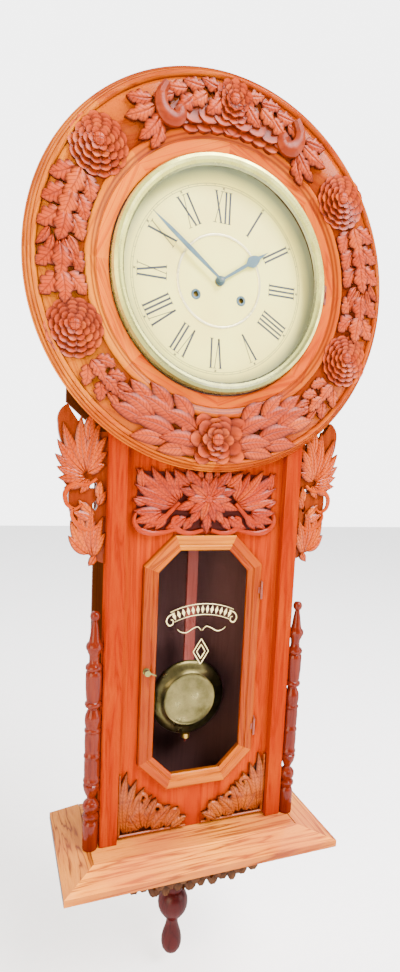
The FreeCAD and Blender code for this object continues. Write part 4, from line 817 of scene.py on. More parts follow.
# Pressed brass trim under pale lacquer: a thin bright line round the centre of the dial.
TRIM_LACQUER = Metal("pale_gilt_trim", "#f4ecc0", "#e8dca4", 0.2, 0.4)
# Gilt transfer on glass: pale gold with a satin gleam.
GILT = Metal("gilt_transfer", "#f0e2a4", "#d4c27c", 0.34, 0.6)
# Sheet steel under baked enamel: cream with a soft gloss, and painted shade and reflection of the bezel round its
# edge.
DIAL_PAINT = DialPaint()
# Float glass of the door and the bezel: hardly seen, but for its sheen from the side.
GLASS = ClearGlass()
# Paper of the studio floor: plain matt white.
FLOOR_PAPER = Metal("floor_paper", "#ffffff", "#fcfcfc", 0.8, 0.0)


# ---------------------------------------------------------------- pieces


class Workpiece:
    """A bmesh in millimetres about the dial's centre that ends as one object."""

    def __init__(self, name: str) -> None:
        """Start an empty piece with the layers that the finishes read.

        Args:
            name: the object's name.
        """
        self.name = name
        self.bm = bmesh.new()
        self.relief = self.bm.verts.layers.float.new("relief")
        self.stipple = self.bm.verts.layers.float.new("stipple")
        self.grain = self.bm.loops.layers.float_vector.new("grain")
        self.leaf = self.bm.loops.layers.float_vector.new("leaf")
        self.tone = self.bm.loops.layers.float.new("tone")

    def finish(
        self,
        body: str,
        finish: Finish,
        slot: str,
        replaced: Sequence[str] = (),
        sharp: float = 38.0,
    ) -> None:
        """Close the piece, place it in the frame and hand it to its body.

        Args:
            body: the body that it rides on.
            finish: the finish of its surface.
            slot: the name of a material slot; not used.
            replaced: nodes that it stands for.
            sharp: edges that turn by more than this many degrees stay crisp.
        """
        bmesh.ops.recalc_face_normals(self.bm, faces=self.bm.faces[:])
        bmesh.ops.transform(self.bm, matrix=clock.matrix(), verts=self.bm.verts[:])
        mesh = bpy.data.meshes.new(self.name)
        self.bm.to_mesh(mesh)
        self.bm.free()
        mesh.shade_smooth()
        mesh.set_sharp_from_angle(angle=math.radians(sharp))
        piece = bpy.data.objects.new(self.name, mesh)
        bpy.context.scene.collection.objects.link(piece)
        mesh.materials.append(finish.material())
        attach(piece, body)
        if replaced:
            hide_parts(*replaced)
        log.info("%s: %d faces", self.name, len(mesh.polygons))

    def turn(self, profile: Sequence[Point], axis: Vector, centre: Vector, steps: int) -> Faces:
        """Turn an outline of (radius, height along the axis) points, as on a lathe.

        Args:
            profile: the outline, with both ends on the axis or meeting in one point.
            axis: INTO_WALL or UPWARDS.
            centre: a point on the axis that the heights count from.
            steps: segments of the turn.

        Returns:
            The new faces.
        """
        points = [Vector((r, h, 0.0)) if axis.y else Vector((r, 0.0, h)) for r, h in profile]
        before = set(self.bm.faces)
        verts = [self.bm.verts.new(centre + point) for point in points]
        edges = [self.bm.edges.new(pair) for pair in zip(verts, verts[1:])]
        bmesh.ops.spin(
            self.bm,
            geom=verts + edges,
            cent=centre,
            axis=axis,
            angle=-math.tau if axis.y else math.tau,
            steps=steps,
            use_merge=True,
        )
        faces = [face for face in self.bm.faces if face not in before]
        near = {vert for face in faces for vert in face.verts}
        bmesh.ops.remove_doubles(self.bm, verts=list(near), dist=0.001)
        return [face for face in self.bm.faces if face not in before]

    def prism(self, corners: Sequence[Vector], push: Vector) -> Faces:
        """Push a flat outline into a solid.

        Args:
            corners: the outline.
            push: how far, and which way, it is pushed.

        Returns:
            The new faces.
        """
        verts = [self.bm.verts.new(corner) for corner in corners]
        cap = self.bm.faces.new(verts)
        made = bmesh.ops.extrude_face_region(self.bm, geom=[cap], use_keep_orig=True)
        moved = [item for item in made["geom"] if isinstance(item, bmesh.types.BMVert)]
        bmesh.ops.translate(self.bm, verts=moved, vec=push)
        return list({face for vert in verts + moved for face in vert.link_faces})

    def skin(self, loops: Sequence[Sequence[Vector]]) -> Faces:
        """Bridge closed outlines one after another and cap both ends.

        Args:
            loops: the outlines, all with the same number of points.

        Returns:
            The new faces.
        """
        before = set(self.bm.faces)
        rings = []
        for loop in loops:
            verts = [self.bm.verts.new(point) for point in loop]
            edges = [self.bm.edges.new((verts[i - 1], verts[i])) for i in range(len(verts))]
            rings.append((verts, edges))
        for (_, first), (_, second) in zip(rings, rings[1:]):
            bmesh.ops.bridge_loops(self.bm, edges=first + second)
        for verts in (rings[0][0], rings[-1][0]):
            self.bm.faces.new(verts)
        return [face for face in self.bm.faces if face not in before]

    def lay_grain(
        self, faces: Sequence[bmesh.types.BMFace], origin: Vector, along: Vector, seed: float, tone: float
    ) -> None:
        """Give faces a grain direction of their own, in metres, and a tone.

        Args:
            faces: the faces of one member.
            origin: where the member's coordinates start.
            along: the grain's direction.
            seed: an offset that keeps members of one finish from matching.
            tone: added brightness.
        """
        along = along.normalized()
        side = along.cross(INTO_WALL)
        side = side.normalized() if side.length > 0.01 else Vector((1, 0, 0))
        up = along.cross(side)
        for face in faces:
            for loop in face.loops:
                step = (loop.vert.co - origin) * MM
                loop[self.grain] = (step.dot(along) + seed, step.dot(side) + seed * 0.37, step.dot(up) + seed)
                loop[self.tone] = tone


def dress_nodes(finish: Finish, *nodes: str) -> None:
    """Give modelled nodes a finish on their own material slots.

    Args:
        finish: the finish.
        nodes: the nodes' names.
    """
    material = finish.material()
    for name in nodes:
        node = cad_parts[name]
        if not node.material_slots:
            node.data.materials.append(material)
        for slot in node.material_slots:
            slot.material = material
        log.info("%s: %s", name, finish.name)


# ---------------------------------------------------------------- carving


class LeafShape(Enum):
    """Outlines that the carver cuts."""

    WILLOW = "willow"
    PETAL = "petal"
    LOBED = "lobed"


# Facets along and across each leaf, enough for its teeth and ridges.
LEAF_FACETS = {LeafShape.WILLOW: (11, 10), LeafShape.PETAL: (7, 6), LeafShape.LOBED: (15, 12)}
LOBES = 3


@dataclass
class Carver:
    """Cuts leaves, petals, vines and rosettes into a workpiece that lies on a plane.

    Attributes:
        piece: the workpiece.
        ground: depth of the plane that the carving stands on.
        spread: how far single leaves differ in tone.
        chance: draws each leaf's tone, always in the same order.
    """

    piece: Workpiece
    ground: float
    spread: float = 0.14
    chance: random.Random = field(default_factory=lambda: random.Random(7))

    def leaf(
        self,
        root: Point,
        angle: float,
        length: float,
        width: float,
        rise: float,
        shape: LeafShape = LeafShape.WILLOW,
        base: float = 0.0,
        bow: float = 0.0,
    ) -> None:
        """Cut one leaf or petal.

        Args:
            root: where it grows from.
            angle: its direction.
            length, width: its size.
            rise: height of its crest over its own base.
            shape: its outline.
            base: height of its base over the ground.
            bow: sideways bend at the middle, positive to the left.
        """
        bm = self.piece.bm
        steps, across = LEAF_FACETS[shape]
        made = bmesh.ops.create_grid(bm, x_segments=steps, y_segments=across, size=0.5)["verts"]
        direction = Vector((math.cos(math.radians(angle)), 0.0, math.sin(math.radians(angle))))
        side = Vector((-direction.z, 0.0, direction.x))
        origin = Vector((root[0], self.ground, root[1]))
        tone = self.chance.uniform(-self.spread, self.spread)
        for loop in {loop for vert in made for loop in vert.link_loops}:
            loop[self.piece.tone] = tone
        for vert in made:
            u, v = vert.co.x + 0.5, vert.co.y * 2.0
            half, height = self.section(shape, u, v)
            lean = bow * 4.0 * u * (1.0 - u)
            vert.co = origin + direction * (u * length) + side * (half * v * width / 2 + lean)
            vert.co.y -= base + max(0.3, rise * height)
            # Crests stay light; lower parts and a thin line round the edge go dark, as stain and as painted shade
            # of the undercut.
            show = (height - 0.28) / 0.6 * (1.0 - 0.8 * abs(v) ** 8)
            vert[self.piece.relief] = max(0.0, min(1.0, show))
            place = (u * length, half * v * width / 2, 0.0 if shape is LeafShape.PETAL else 1.0)
            for loop in vert.link_loops:
                loop[self.piece.leaf] = place
        rim = [edge for edge in {e for vert in made for e in vert.link_edges} if edge.is_boundary]
        skirt = bmesh.ops.extrude_edge_only(bm, edges=rim)["geom"]
        # The skirt down to the ground takes the darkest colour, as painted shade under the leaf.
        for vert in [item for item in skirt if isinstance(item, bmesh.types.BMVert)]:
            vert.co.y = self.ground - base + 0.3
            vert[self.piece.relief] = 0.0
        foot = [item for item in skirt if isinstance(item, bmesh.types.BMEdge) and item.is_boundary]
        bmesh.ops.edgeloop_fill(bm, edges=foot)

    @staticmethod
    def section(shape: LeafShape, u: float, v: float) -> tuple[float, float]:
        """Half width and height of a leaf at a place, both as shares.

        Args:
            shape: the outline.
            u: how far along the leaf, 0 to 1.
            v: how far across, -1 to 1.

        Returns:
            The half width and the height.
        """
        edge = abs(v)
        if shape is LeafShape.PETAL:
            half = 0.72 + 0.28 * math.sin(math.pi * min(1.0, u / 1.2))
            if u > 0.55:
                half *= 0.25 + 0.75 * math.sqrt(max(0.0, 1.0 - ((u - 0.55) / 0.46) ** 2))
            cup = (1.0 - edge**2) * math.sin(math.pi * min(1.0, u * 0.95))
            return half, 0.45 + 0.55 * u - 0.26 * cup
        half = math.sin(math.pi * u**0.8) ** 0.8 if 0.0 < u < 1.0 else 0.0
        half = half * 0.97 + 0.03
        arch = math.sin(math.pi * min(1.0, 0.2 + 0.62 * u))
        groove = math.exp(-((v / 0.13) ** 2)) * (1.0 - 0.6 * u)
        if shape is LeafShape.LOBED:
            place = u * LOBES - 0.7 * edge
            tooth = place - math.floor(place)
            half *= 0.66 + 0.38 * math.sin(math.pi * (u * LOBES % 1.0)) ** 0.7
            height = (0.42 + 0.58 * arch) * (1.0 - 0.30 * edge**2) - 0.26 * groove
            return half, max(0.05, height - 0.34 * edge * (1.0 - tooth) ** 4 - 0.16 * edge * tooth**6)
        ridges = 0.5 + 0.5 * math.cos(math.pi * (edge * 3.2 - u * 0.8))
        height = (0.36 + 0.64 * arch) * (1.0 - 0.42 * edge**2) - 0.24 * groove - 0.10 * ridges * edge
        return half, max(0.05, height)

    def leaves(
        self,
        side: int,
        rows: Sequence[LeafRow],
        rise: float,
        shape: LeafShape = LeafShape.WILLOW,
        base: float = 0.0,
    ) -> None:
        """Cut a row of leaves on the right (+1) or, mirrored, on the left (-1).

        Args:
            side: +1 or -1.
            rows: x, z, direction, length and width of each, as on the right.
            rise: height of their crests.
            shape: their outline.
            base: height of the first one's base; each next one starts a little higher.
        """
        for number, (x, z, angle, length, width) in enumerate(rows):
            heading = angle if side > 0 else 180.0 - angle
            step = base + 0.35 * (number % 4)
            self.leaf((side * x, z), heading, length, width, rise, shape, step, -side * 0.05 * length)

    def petals(
        self,
        centre: Point,
        count: int,
        reach: tuple[float, float],
        width: float,
        rise: float,
        base: float,
        start: float = 0.3,
        shifted: bool = False,
    ) -> None:
        """Cut one tier of petals about a flower's centre.

        Args:
            centre: the tier's centre.
            count: how many petals.
            reach: distance of their tips sideways and upwards.
            width: width of each.
            rise: height of their crests.
            base: height of their bases over the ground.
            start: distance of their roots, as a share of the reach.
            shifted: whether they stand in the gaps of a tier that isn't shifted.
        """
        for number in range(count):
            turn = 360.0 * (number + 0.5 * shifted) / count
            angle = math.radians(turn)
            tip = math.hypot(reach[0] * math.cos(angle), reach[1] * math.sin(angle))
            root = on_circle(centre, start * tip, turn)
            self.leaf(root, turn, (1.0 - start) * tip, width, rise, LeafShape.PETAL, base=base)

    def rosette(self, centre: Point, radius: float, height: float) -> None:
        """Cut a many-petalled flower that looks a little downwards.

        Args:
            centre: middle of its button.
            radius: reach of its lowest petals.
            height: height of its button over the ground.
        """
        counts = (14, 13, 11, 9, 6)
        long = 0.36 * radius
        for tier, count in enumerate(counts):
            share = 1.0 - tier / len(counts)
            reach = radius * (0.20 + 0.80 * share)
            # The outer tiers slip down, which turns the flower's face to the floor.
            middle = (centre[0], centre[1] - 0.1 * radius * share)
            wide = 1.28 * math.tau * (reach - 0.35 * long) / count
            start = (reach - long) / reach
            self.petals(middle, count, (reach, reach), wide, 3.6, height * 0.15 * tier, start, tier % 2 == 1)
        self.button(centre, radius * 0.2, height * 1.02)

    def button(self, centre: Point, radius: float, height: float) -> None:
        """Cut a domed button, cross-hatched by raised squares.

        Args:
            centre: its middle.
            radius: its radius.
            height: its height over the ground.
        """
        place = Matrix.Translation((centre[0], self.ground - height * 0.8, centre[1]))
        squash = Matrix.Diagonal((1.0, 0.55, 1.0, 1.0))
        dome = bmesh.ops.create_icosphere(self.piece.bm, subdivisions=4, radius=radius, matrix=place @ squash)
        for vert in dome["verts"]:
            across = (vert.co.x - centre[0]) / radius
            up = (vert.co.z - centre[1]) / radius
            hatch = max(math.cos(across * 8.0), math.cos(up * 8.0)) ** 8
            vert.co.y += 0.5 * hatch
            # Sunk hatching goes darker: stain and painted shade.
            vert[self.piece.relief] = 0.9 - 0.7 * hatch

    def vine(
        self,
        route: Sequence[Point],
        thick: tuple[float, float, float],
        rise: float,
        base: float = 0.0,
        tone: float = 0.0,
    ) -> None:
        """Cut a round stem along a route, smoothed between its points.

        Args:
            route: the points that it passes through.
            thick: its thickness at the first, middle and last point.
            rise: height of its crest over its base.
            base: height of its base over the ground.
            tone: added brightness.
        """
        path = smooth_route(route, 6)
        last = len(path) - 1
        loops = []
        for number, (x, z) in enumerate(path):
            u = number / last
            before, after = path[max(0, number - 1)], path[min(last, number + 1)]
            heading = Vector((after[0] - before[0], 0.0, after[1] - before[1])).normalized()
            side = Vector((-heading.z, 0.0, heading.x))
            if u < 0.5:
                wide = thick[0] + (thick[1] - thick[0]) * u * 2
            else:
                wide = thick[1] + (thick[2] - thick[1]) * (u - 0.5) * 2
            loop = []
            for turn in range(8):
                swing = math.radians(22.5 + 45.0 * turn)
                tall = base + rise * 0.5 + math.sin(swing) * max(rise * 0.5, wide * 0.3)
                loop.append(Vector((x, self.ground - tall, z)) + side * (math.cos(swing) * wide / 2))
            loops.append(loop)
        faces = self.piece.skin(loops)
        for loop in [loop for face in faces for loop in face.loops]:
            loop[self.piece.tone] = tone
        # Lower parts of a stem go darker: stain and painted shade.
        for vert in {v for face in faces for v in face.verts}:
            height = (self.ground - vert.co.y) / max(0.1, base + rise)
            vert[self.piece.relief] = min(0.72, max(0.0, height))


# ---------------------------------------------------------------- the head


@dataclass(frozen=True)
class BandLeaf:
    """A leaf placed along the carved band.

    Attributes:
        away: degrees along the band from where the spray starts.
        radius: distance from the dial's centre.
        lean: degrees that it turns from the band's run towards the dial.
        length, width: its size.
        rise, base: height of its crest, and of its foot over the ground.
        shape: its outline.
    """

    away: float
    radius: float
    lean: float
    length: float
    width: float
    rise: float
    base: float = 0.0
    shape: LeafShape = LeafShape.LOBED

    def carve(self, carver: Carver, start: float, turn: int) -> None:
        """Cut it.

        Args:
            carver: the carver.
            start: the angle that its spray starts at.
            turn: +1 for a spray that runs anticlockwise, -1 for one that runs back.
        """
        angle = start + turn * self.away
        carver.leaf(
            on_circle((0.0, 0.0), self.radius, angle),
            angle + turn * (90.0 + self.lean),
            self.length,
            self.width,
            self.rise,
            self.shape,
            self.base,
            turn * 0.06 * self.length,
        )


def cluster(away: float, radius: float = 199.0, length: float = 36.0, width: float = 26.0) -> list[BandLeaf]:
    """Place three lobed leaves about one point of the band, the middle one on top.

    Args:
        away: degrees along the band from where the spray starts.
        radius: distance of the middle leaf from the dial's centre.
        length, width: size of the middle leaf.

    Returns:
        The leaves, lowest first.
    """
    return [
        BandLeaf(away, radius - 6, 40, 0.86 * length, 0.92 * width, 4.6),
        BandLeaf(away, radius + 6, -40, 0.86 * length, 0.92 * width, 4.6, 1.4),
        BandLeaf(away - 0.5, radius, 0, length, 0.9 * width, 5.0, 3.7),
    ]


@dataclass
class CarvedHead:
    """The round head: beaded ring, flat inner ring, four rosettes and the sprays between them.

    Attributes:
        hole: radius of the hole for the brass.
        inside, rim: inner and outer radius of the carved ring.
        ground: depth of the sunk band between its beads.
        inner_beads: step out from the inside and height over the ground, along the inner beads.
        rim_beads: step in from the rim and height over the ground, along the outer beads.
        grooves: steps in from the rim of the lines where stain and painted shade darken the ring.
        ring_tones_painted_light, inner_tones_painted_light: brightness of each segment, differing from segment to
        segment and raised on the left as painted light.
        band: radius of the middle of the carving.
        rosette: radius of a rosette.
        rosette_angles: where the rosettes stand.
        hook: route of the crown's right hook.
    """

    hole: float = 143.5
    inside: float = 158.5
    rim: float = 240.0
    ground: float = -10.6
    inner_beads: Route = (
        (0.0, 1.6), (1.5, 0.4), (4.0, -0.2), (6.0, -1.6), (8.0, -2.4), (10.0, -2.6), (12.0, -2.2),
        (13.5, -0.6), (14.2, 0.9), (16.0, 0.4),
    )
    rim_beads: Route = (
        (16.6, 0.4), (15.4, 0.9), (14.8, -1.6), (14.0, -3.4), (12.6, -4.3), (11.0, -3.8), (10.0, -2.6),
        (9.2, -0.9), (8.2, -1.2), (7.0, 0.4), (6.2, 2.6), (5.0, 2.2), (3.8, 4.0), (3.0, 6.0), (1.8, 5.9),
        (0.5, 7.4), (0.0, 8.8),
    )
    grooves: tuple[float, ...] = (1.8, 5.0, 9.2, 15.4, 65.5, 67.3, 75.5, 80.0)
    # Segments on the left are raised as painted light, besides their own differences.
    ring_tones_painted_light: tuple[float, ...] = (-0.06, 0.0, 0.06, 0.36, 0.4, 0.2, 0.0, -0.04)
    inner_tones_painted_light: tuple[float, ...] = (-0.14, -0.08, 0.1, 0.2, 0.16, 0.0, -0.1, -0.06)
    band: float = 199.0
    rosette: float = 34.0
    rosette_angles: tuple[float, ...] = (37.0, 143.0, 204.0, 336.0)
    hook: Route = ((84, 198), (90, 186), (89, 173), (81, 164), (71, 163), (66, 170), (69, 177))

    def build(self) -> None:
        """Build every piece of the head."""
        self.build_ring()
        self.build_inner_ring()
        self.build_rosettes()
        self.build_sprays()

    def dress(self) -> None:
        """Finish the modelled boards behind the ring."""
        dress_nodes(SIDE_WOOD, "head_boards")

    def segment_grain(
        self, piece: Workpiece, faces: Sequence[bmesh.types.BMFace], tones: Sequence[float]
    ) -> None:
        """Run each segment's grain along its chord, each in a tone of its own, partly painted light.

        Args:
            piece: the ring.
            faces: its faces.
            tones: brightness of each segment.
        """
        wide = 360.0 / len(tones)
        segments: dict[int, list[bmesh.types.BMFace]] = {}
        for face in faces:
            middle = face.calc_center_median()
            angle = math.degrees(math.atan2(middle.z, middle.x)) % 360.0
            segments.setdefault(int(angle / wide), []).append(face)
        for number, members in segments.items():
            heading = math.radians((number + 0.5) * wide + 90.0)
            along = Vector((math.cos(heading), 0.0, math.sin(heading)))
            piece.lay_grain(members, Vector(), along, 0.31 * number, tones[number])

    def build_ring(self) -> None:
        """Turn the ring board with its outer bead, sunk stippled ground and inner beads."""
        piece = Workpiece("carved_ring")
        low, inside, rim = self.ground, self.inside, self.rim
        profile = [(inside, -0.2)]
        profile += [(inside + step, low + height) for step, height in self.inner_beads]
        profile += [(rim - step, low + height) for step, height in self.rim_beads]
        profile += [(rim, -0.8), (rim - 0.8, -0.2), (inside, -0.2)]
        faces = piece.turn(profile, INTO_WALL, Vector(), 192)
        for vert in piece.bm.verts:
            radius = math.hypot(vert.co.x, vert.co.z)
            sunk = inside + 15.0 < radius < rim - 16.0 and vert.co.y < low + 1.0
            vert[piece.stipple] = 1.0 if sunk else 0.0
            # Dark lines at the grooves: stain and painted shade.
            nearest = min(abs(radius - rim + away) for away in self.grooves)
            vert[piece.relief] = 0.1 if nearest < 0.15 else 0.9
        self.segment_grain(piece, faces, self.ring_tones_painted_light)
        piece.finish("case", RING_WOOD, "case_wood", ["head_ring"])

    def build_inner_ring(self) -> None:
        """Turn the flat ring of short segments between the beads and the brass."""
        piece = Workpiece("flat_inner_ring")
        low = self.ground + 0.7
        profile = [
            (self.hole, -0.2),
            (self.hole, low + 1.0),
            (self.hole + 1.2, low),
            (self.inside - 0.8, low - 0.1),
            (self.inside - 0.1, low + 0.8),
            (self.inside - 0.1, -0.2),
            (self.hole, -0.2),
        ]
        faces = piece.turn(profile, INTO_WALL, Vector(), 192)
        self.segment_grain(piece, faces, self.inner_tones_painted_light)
        piece.finish("case", INNER_RING_WOOD, "case_wood", ["inner_ring"])

    def build_rosettes(self) -> None:
        """Carve four chrysanthemum rosettes that tilt towards the floor."""
        piece = Workpiece("rosettes")
        carver = Carver(piece, self.ground - 0.4)
        for angle in self.rosette_angles:
            carver.rosette(on_circle((0.0, 2.0), self.band, angle), self.rosette, 11.0)
        piece.finish("case", CARVED_WOOD, "carved_wood", ["ring_rosettes"])

    def build_sprays(self) -> None:
        """Carve the leaf sprays, the crown with its hooks and flower, and the foot flower."""
        piece = Workpiece("leaf_sprays")
        carver = Carver(piece, self.ground - 0.9)
        for turn in (1, -1):
            sprays = (
                (90.0, self.crown_leaves()),
                (270.0, self.foot_leaves()),
                (90.0 + turn * 62.0, self.side_leaves()),
                (270.0 - turn * 55.5, self.lower_leaves()),
            )
            for start, leaves in sprays:
                for leaf in leaves:
                    leaf.carve(carver, start, turn)
            # The hooks are drawn darker, as painted shade in the hollow of their curls.
            carver.vine(mirrored(self.hook, -turn), (10.0, 20.0, 13.0), 11.0, 1.5, -0.35)
        self.crown_flower(carver)
        self.foot_flower(carver)
        piece.finish("case", CARVED_WOOD, "carved_wood", ["ring_sprays"])

    def crown_leaves(self) -> list[BandLeaf]:
        """Place one half of the crown: top feathers, three rows of broad scales and the outer spray.

        Returns:
            The leaves, lowest first.
        """
        feathers = ((4, 212, -16), (10, 212, -12), (16, 210, -8), (21, 206, -2))
        low_scales = ((1, 86), (6.2, 80), (11.4, 72), (16.4, 60))
        high_scales = ((3.6, 80), (9, 68), (14.4, 56), (19, 40))
        top_scales = ((5, 199, 44), (10, 203, 26), (15, 200, 30))
        outer = ((29, 206, -22, 30, 0.0), (29, 182, 44, 34, 0.0), (29, 198, 0, 40, 1.2), (28, 188, 24, 42, 1.8))
        return [
            *(BandLeaf(away, radius, lean, 27, 17, 5.0, 0.5) for away, radius, lean in feathers),
            *(BandLeaf(away, 182.0, lean, 20, 22, 6.0, 0.0, LeafShape.PETAL) for away, lean in low_scales),
            *(BandLeaf(away, 191.0, lean, 21, 25, 6.0, 2.4, LeafShape.PETAL) for away, lean in high_scales),
            *(BandLeaf(away, radius, lean, 27, 20, 6.0, 4.2) for away, radius, lean in top_scales),
            *(BandLeaf(away, radius, lean, length, 19, 6.5, base) for away, radius, lean, length, base in outer),
        ]

    def side_leaves(self) -> list[BandLeaf]:
        """Place the spray under an upper rosette: five clusters and a run of tongues.

        Returns:
            The leaves, lowest first.
        """
        tongues = ((23, 192, 34), (24, 197, 18), (25, 202, 2), (24, 208, -16), (26, 194, 26), (22, 212, -30))
        return [
            *cluster(35.0),
            *cluster(27.0),
            *(BandLeaf(away, radius, lean, 26, 10, 5.5, 1.0, LeafShape.WILLOW) for away, radius, lean in tongues),
            *cluster(16.0),
            *cluster(9.0),
            *cluster(2.0),
        ]

    def lower_leaves(self) -> list[BandLeaf]:
        """Place the short spray under a lower rosette.

        Returns:
            The leaves, lowest first.
        """
        tongues = ((12, 194, 22), (12.5, 200, 6), (12, 207, -10))
        return [
            *(BandLeaf(away, radius, lean, 26, 10, 5.5, 0.5, LeafShape.WILLOW) for away, radius, lean in tongues),
            *cluster(8.0, 200, 28, 19),
            *cluster(1.5, 200, 30, 20),
        ]

    def foot_leaves(self) -> list[BandLeaf]:
        """Place one half of the foot: long pointed leaves, outer ones first.

        Returns:
            The leaves, lowest first.
        """
        rows = (
            (27, 190, 24, 44, 0.0), (27, 206, -4, 46, 0.4), (25, 197, 8, 50, 1.4), (20, 183, 34, 44, 0.0),
            (18, 214, -14, 46, 0.4), (17, 190, 16, 54, 1.2), (16, 203, 0, 56, 2.0), (11, 182, 40, 40, 0.4),
            (9, 216, -12, 44, 1.0), (8, 192, 18, 50, 2.2), (7, 206, -2, 50, 2.8),
        )
        return [
            BandLeaf(away, radius, lean, 1.05 * length, 21, 6.5, base, LeafShape.WILLOW)
            for away, radius, lean, length, base in rows
        ]

    def crown_flower(self, carver: Carver) -> None:
        """Cut the pointed-petal flower at the top of the band.

        Args:
            carver: the carver.
        """
        for count, reach, base in ((12, 25.0, 4.5), (10, 18.0, 6.5), (8, 11.5, 8.0)):
            wide = 2.3 * reach * math.sin(math.pi / count)
            carver.petals((0.0, self.band), count, (reach, reach), wide, 4.0, base, shifted=count == 10)
        carver.button((0.0, self.band + 2.0), 6.2, 13.0)

    def foot_flower(self, carver: Carver) -> None:
        """Cut the round-petalled flower at the foot of the band, wider than it is high.

        Args:
            carver: the carver.
        """
        centre = (-2.0, -self.band)
        for count, across, up, base in ((11, 50.0, 26.5, 2.6), (9, 36.0, 20.0, 5.6), (8, 21.0, 13.0, 8.4)):
            wide = 1.08 * math.pi * (across + up) / count
            carver.petals(centre, count, (across, up), wide, 5.0, base, shifted=count == 9)
        carver.button(centre, 7.5, 15.0)


@dataclass(frozen=True)
class Letter:
    """A letter of the roman numerals.

    Attributes:
        width: its width with the space beside it.
        strokes: top end, bottom end and thickness of each stroke, the ends as shares of its reach.
        feet: side and height (0 foot, 1 head) of each short bar, the side as a share of its reach.
    """

    width: float
    strokes: tuple[tuple[int, int, float], ...]
    feet: tuple[tuple[int, int], ...]


LETTERS = {
    "I": Letter(5.6, ((0, 0, 2.5),), ((0, 0), (0, 1))),
    "V": Letter(13.5, ((-1, 0, 2.5), (1, 0, 0.9)), ((-1, 1), (1, 1))),
    "X": Letter(13.5, ((-1, 1, 2.5), (1, -1, 0.9)), ((-1, 0), (1, 0), (-1, 1), (1, 1))),
}


@dataclass
class Dial:
    """The cream dial with its printing, and the hands over it.

    Attributes:
        face: depth of the enamel.
        ink: thickness of the printing.
        numeral_low, numeral_high: radius of the numerals' feet and heads.
        track: radius of the minute track's middle.
        track_half: half its width.
        trim: radius and height of the centre ring's outline.
        bush: radius and height of a winding bush's outline.
        winding_hole: where the right winding hole is.
        numerals: the hours from twelve on.
    """

    face: float = 3.2
    ink: float = 0.12
    numeral_low: float = 70.0
    numeral_high: float = 107.0
    track: float = 113.6
    track_half: float = 1.3
    trim: Route = ((54.0, 0.2), (54.2, -0.9), (54.9, -1.5), (55.8, -1.7), (56.7, -1.5), (57.4, -0.9), (57.6, 0.2))
    bush: Route = ((3.4, 0.1), (3.4, -0.5), (4.0, -0.8), (6.0, -0.7), (6.4, -0.3), (6.4, 0.1))
    winding_hole: Point = (30.9, -19.6)
    numerals: tuple[str, ...] = ("XII", "I", "II", "III", "IIII", "V", "VI", "VII", "VIII", "IX", "X", "XI")

    def build(self) -> None:
        """Print the dial and fit its trim."""
        self.print_numerals()
        self.print_track()
        self.fit_trim()

    def dress(self) -> None:
        """Finish the modelled dial plate, its board and the hands."""
        dress_nodes(DIAL_PAINT, "dial_plate")
        dress_nodes(BLUED_STEEL, "hour_hand", "minute_hand", "hand_nut")
        dress_nodes(INNER_WOOD, "dial_board")

    def fit_trim(self) -> None:
        """Turn the raised pale ring round the centre, and the dark bushes of the winding holes."""
        ring = Workpiece("centre_trim")
        ring.turn([*self.trim, self.trim[0]], INTO_WALL, Vector((0.0, self.face, 0.0)), 160)
        ring.finish("case", TRIM_LACQUER, "brass", ["dial_trim_ring"])
        bushes = Workpiece("winding_bushes")
        for side in (-1, 1):
            place = Vector((side * self.winding_hole[0], self.face, self.winding_hole[1]))
            bushes.turn([*self.bush, self.bush[0]], INTO_WALL, place, 40)
        bushes.finish("case", BLUED_STEEL, "steel")

    def bar(self, piece: Workpiece, start: Point, end: Point, wide: float, degrees: float) -> None:
        """Print a flat stroke.

        Args:
            piece: the printing.
            start, end: its ends, as at twelve o'clock.
            wide: its thickness.
            degrees: clockwise turn about the dial's centre.
        """
        turn = Matrix.Rotation(math.radians(degrees), 4, INTO_WALL)
        along = Vector((end[0] - start[0], 0.0, end[1] - start[1])).normalized()
        side = Vector((-along.z, 0.0, along.x)) * (wide / 2)
        first, last = Vector((start[0], self.face, start[1])), Vector((end[0], self.face, end[1]))
        corners = [turn @ corner for corner in (first - side, last - side, last + side, first + side)]
        piece.prism(corners, Vector((0.0, -self.ink, 0.0)))

    def print_numerals(self) -> None:
        """Print twelve roman numerals that stand on the dial's centre."""
        piece = Workpiece("dial_numerals")
        edges = (self.numeral_low, self.numeral_high)
        for number, numeral in enumerate(self.numerals):
            letters = [LETTERS[letter] for letter in numeral]
            left = -sum(letter.width for letter in letters) / 2
            for letter in letters:
                middle, reach = left + letter.width / 2, letter.width / 2 - 2.6
                for top, bottom, wide in letter.strokes:
                    start, end = (middle + top * reach, edges[1]), (middle + bottom * reach, edges[0])
                    self.bar(piece, start, end, wide, 30.0 * number)
                for side, high in letter.feet:
                    foot = middle + side * reach
                    self.bar(piece, (foot - 2.4, edges[high]), (foot + 2.4, edges[high]), 0.7, 30.0 * number)
                left += letter.width
        piece.finish("case", PRINT_BLACK, "dial_paint", sharp=20.0)

    def print_track(self) -> None:
        """Print two fine minute circles with a mark at every minute and a cross at every fifth."""
        piece = Workpiece("dial_minute_track")
        low, high = self.track - self.track_half, self.track + self.track_half
        top, half = self.face - self.ink, 0.18
        for radius in (low, high):
            inner, outer = radius - half, radius + half
            outline = [(inner, self.face), (inner, top), (outer, top), (outer, self.face), (inner, self.face)]
            piece.turn(outline, INTO_WALL, Vector(), 180)
        for minute in range(60):
            if minute % 5:
                self.bar(piece, (0.0, low), (0.0, high), 0.3, 6.0 * minute)
                continue
            middle = self.track - 3.2
            for slant in (-1.3, 1.3):
                self.bar(piece, (slant, middle - 1.4), (-slant, middle + 1.4), 0.8, 6.0 * minute)
        piece.finish("case", PRINT_BLACK, "dial_paint", sharp=20.0)


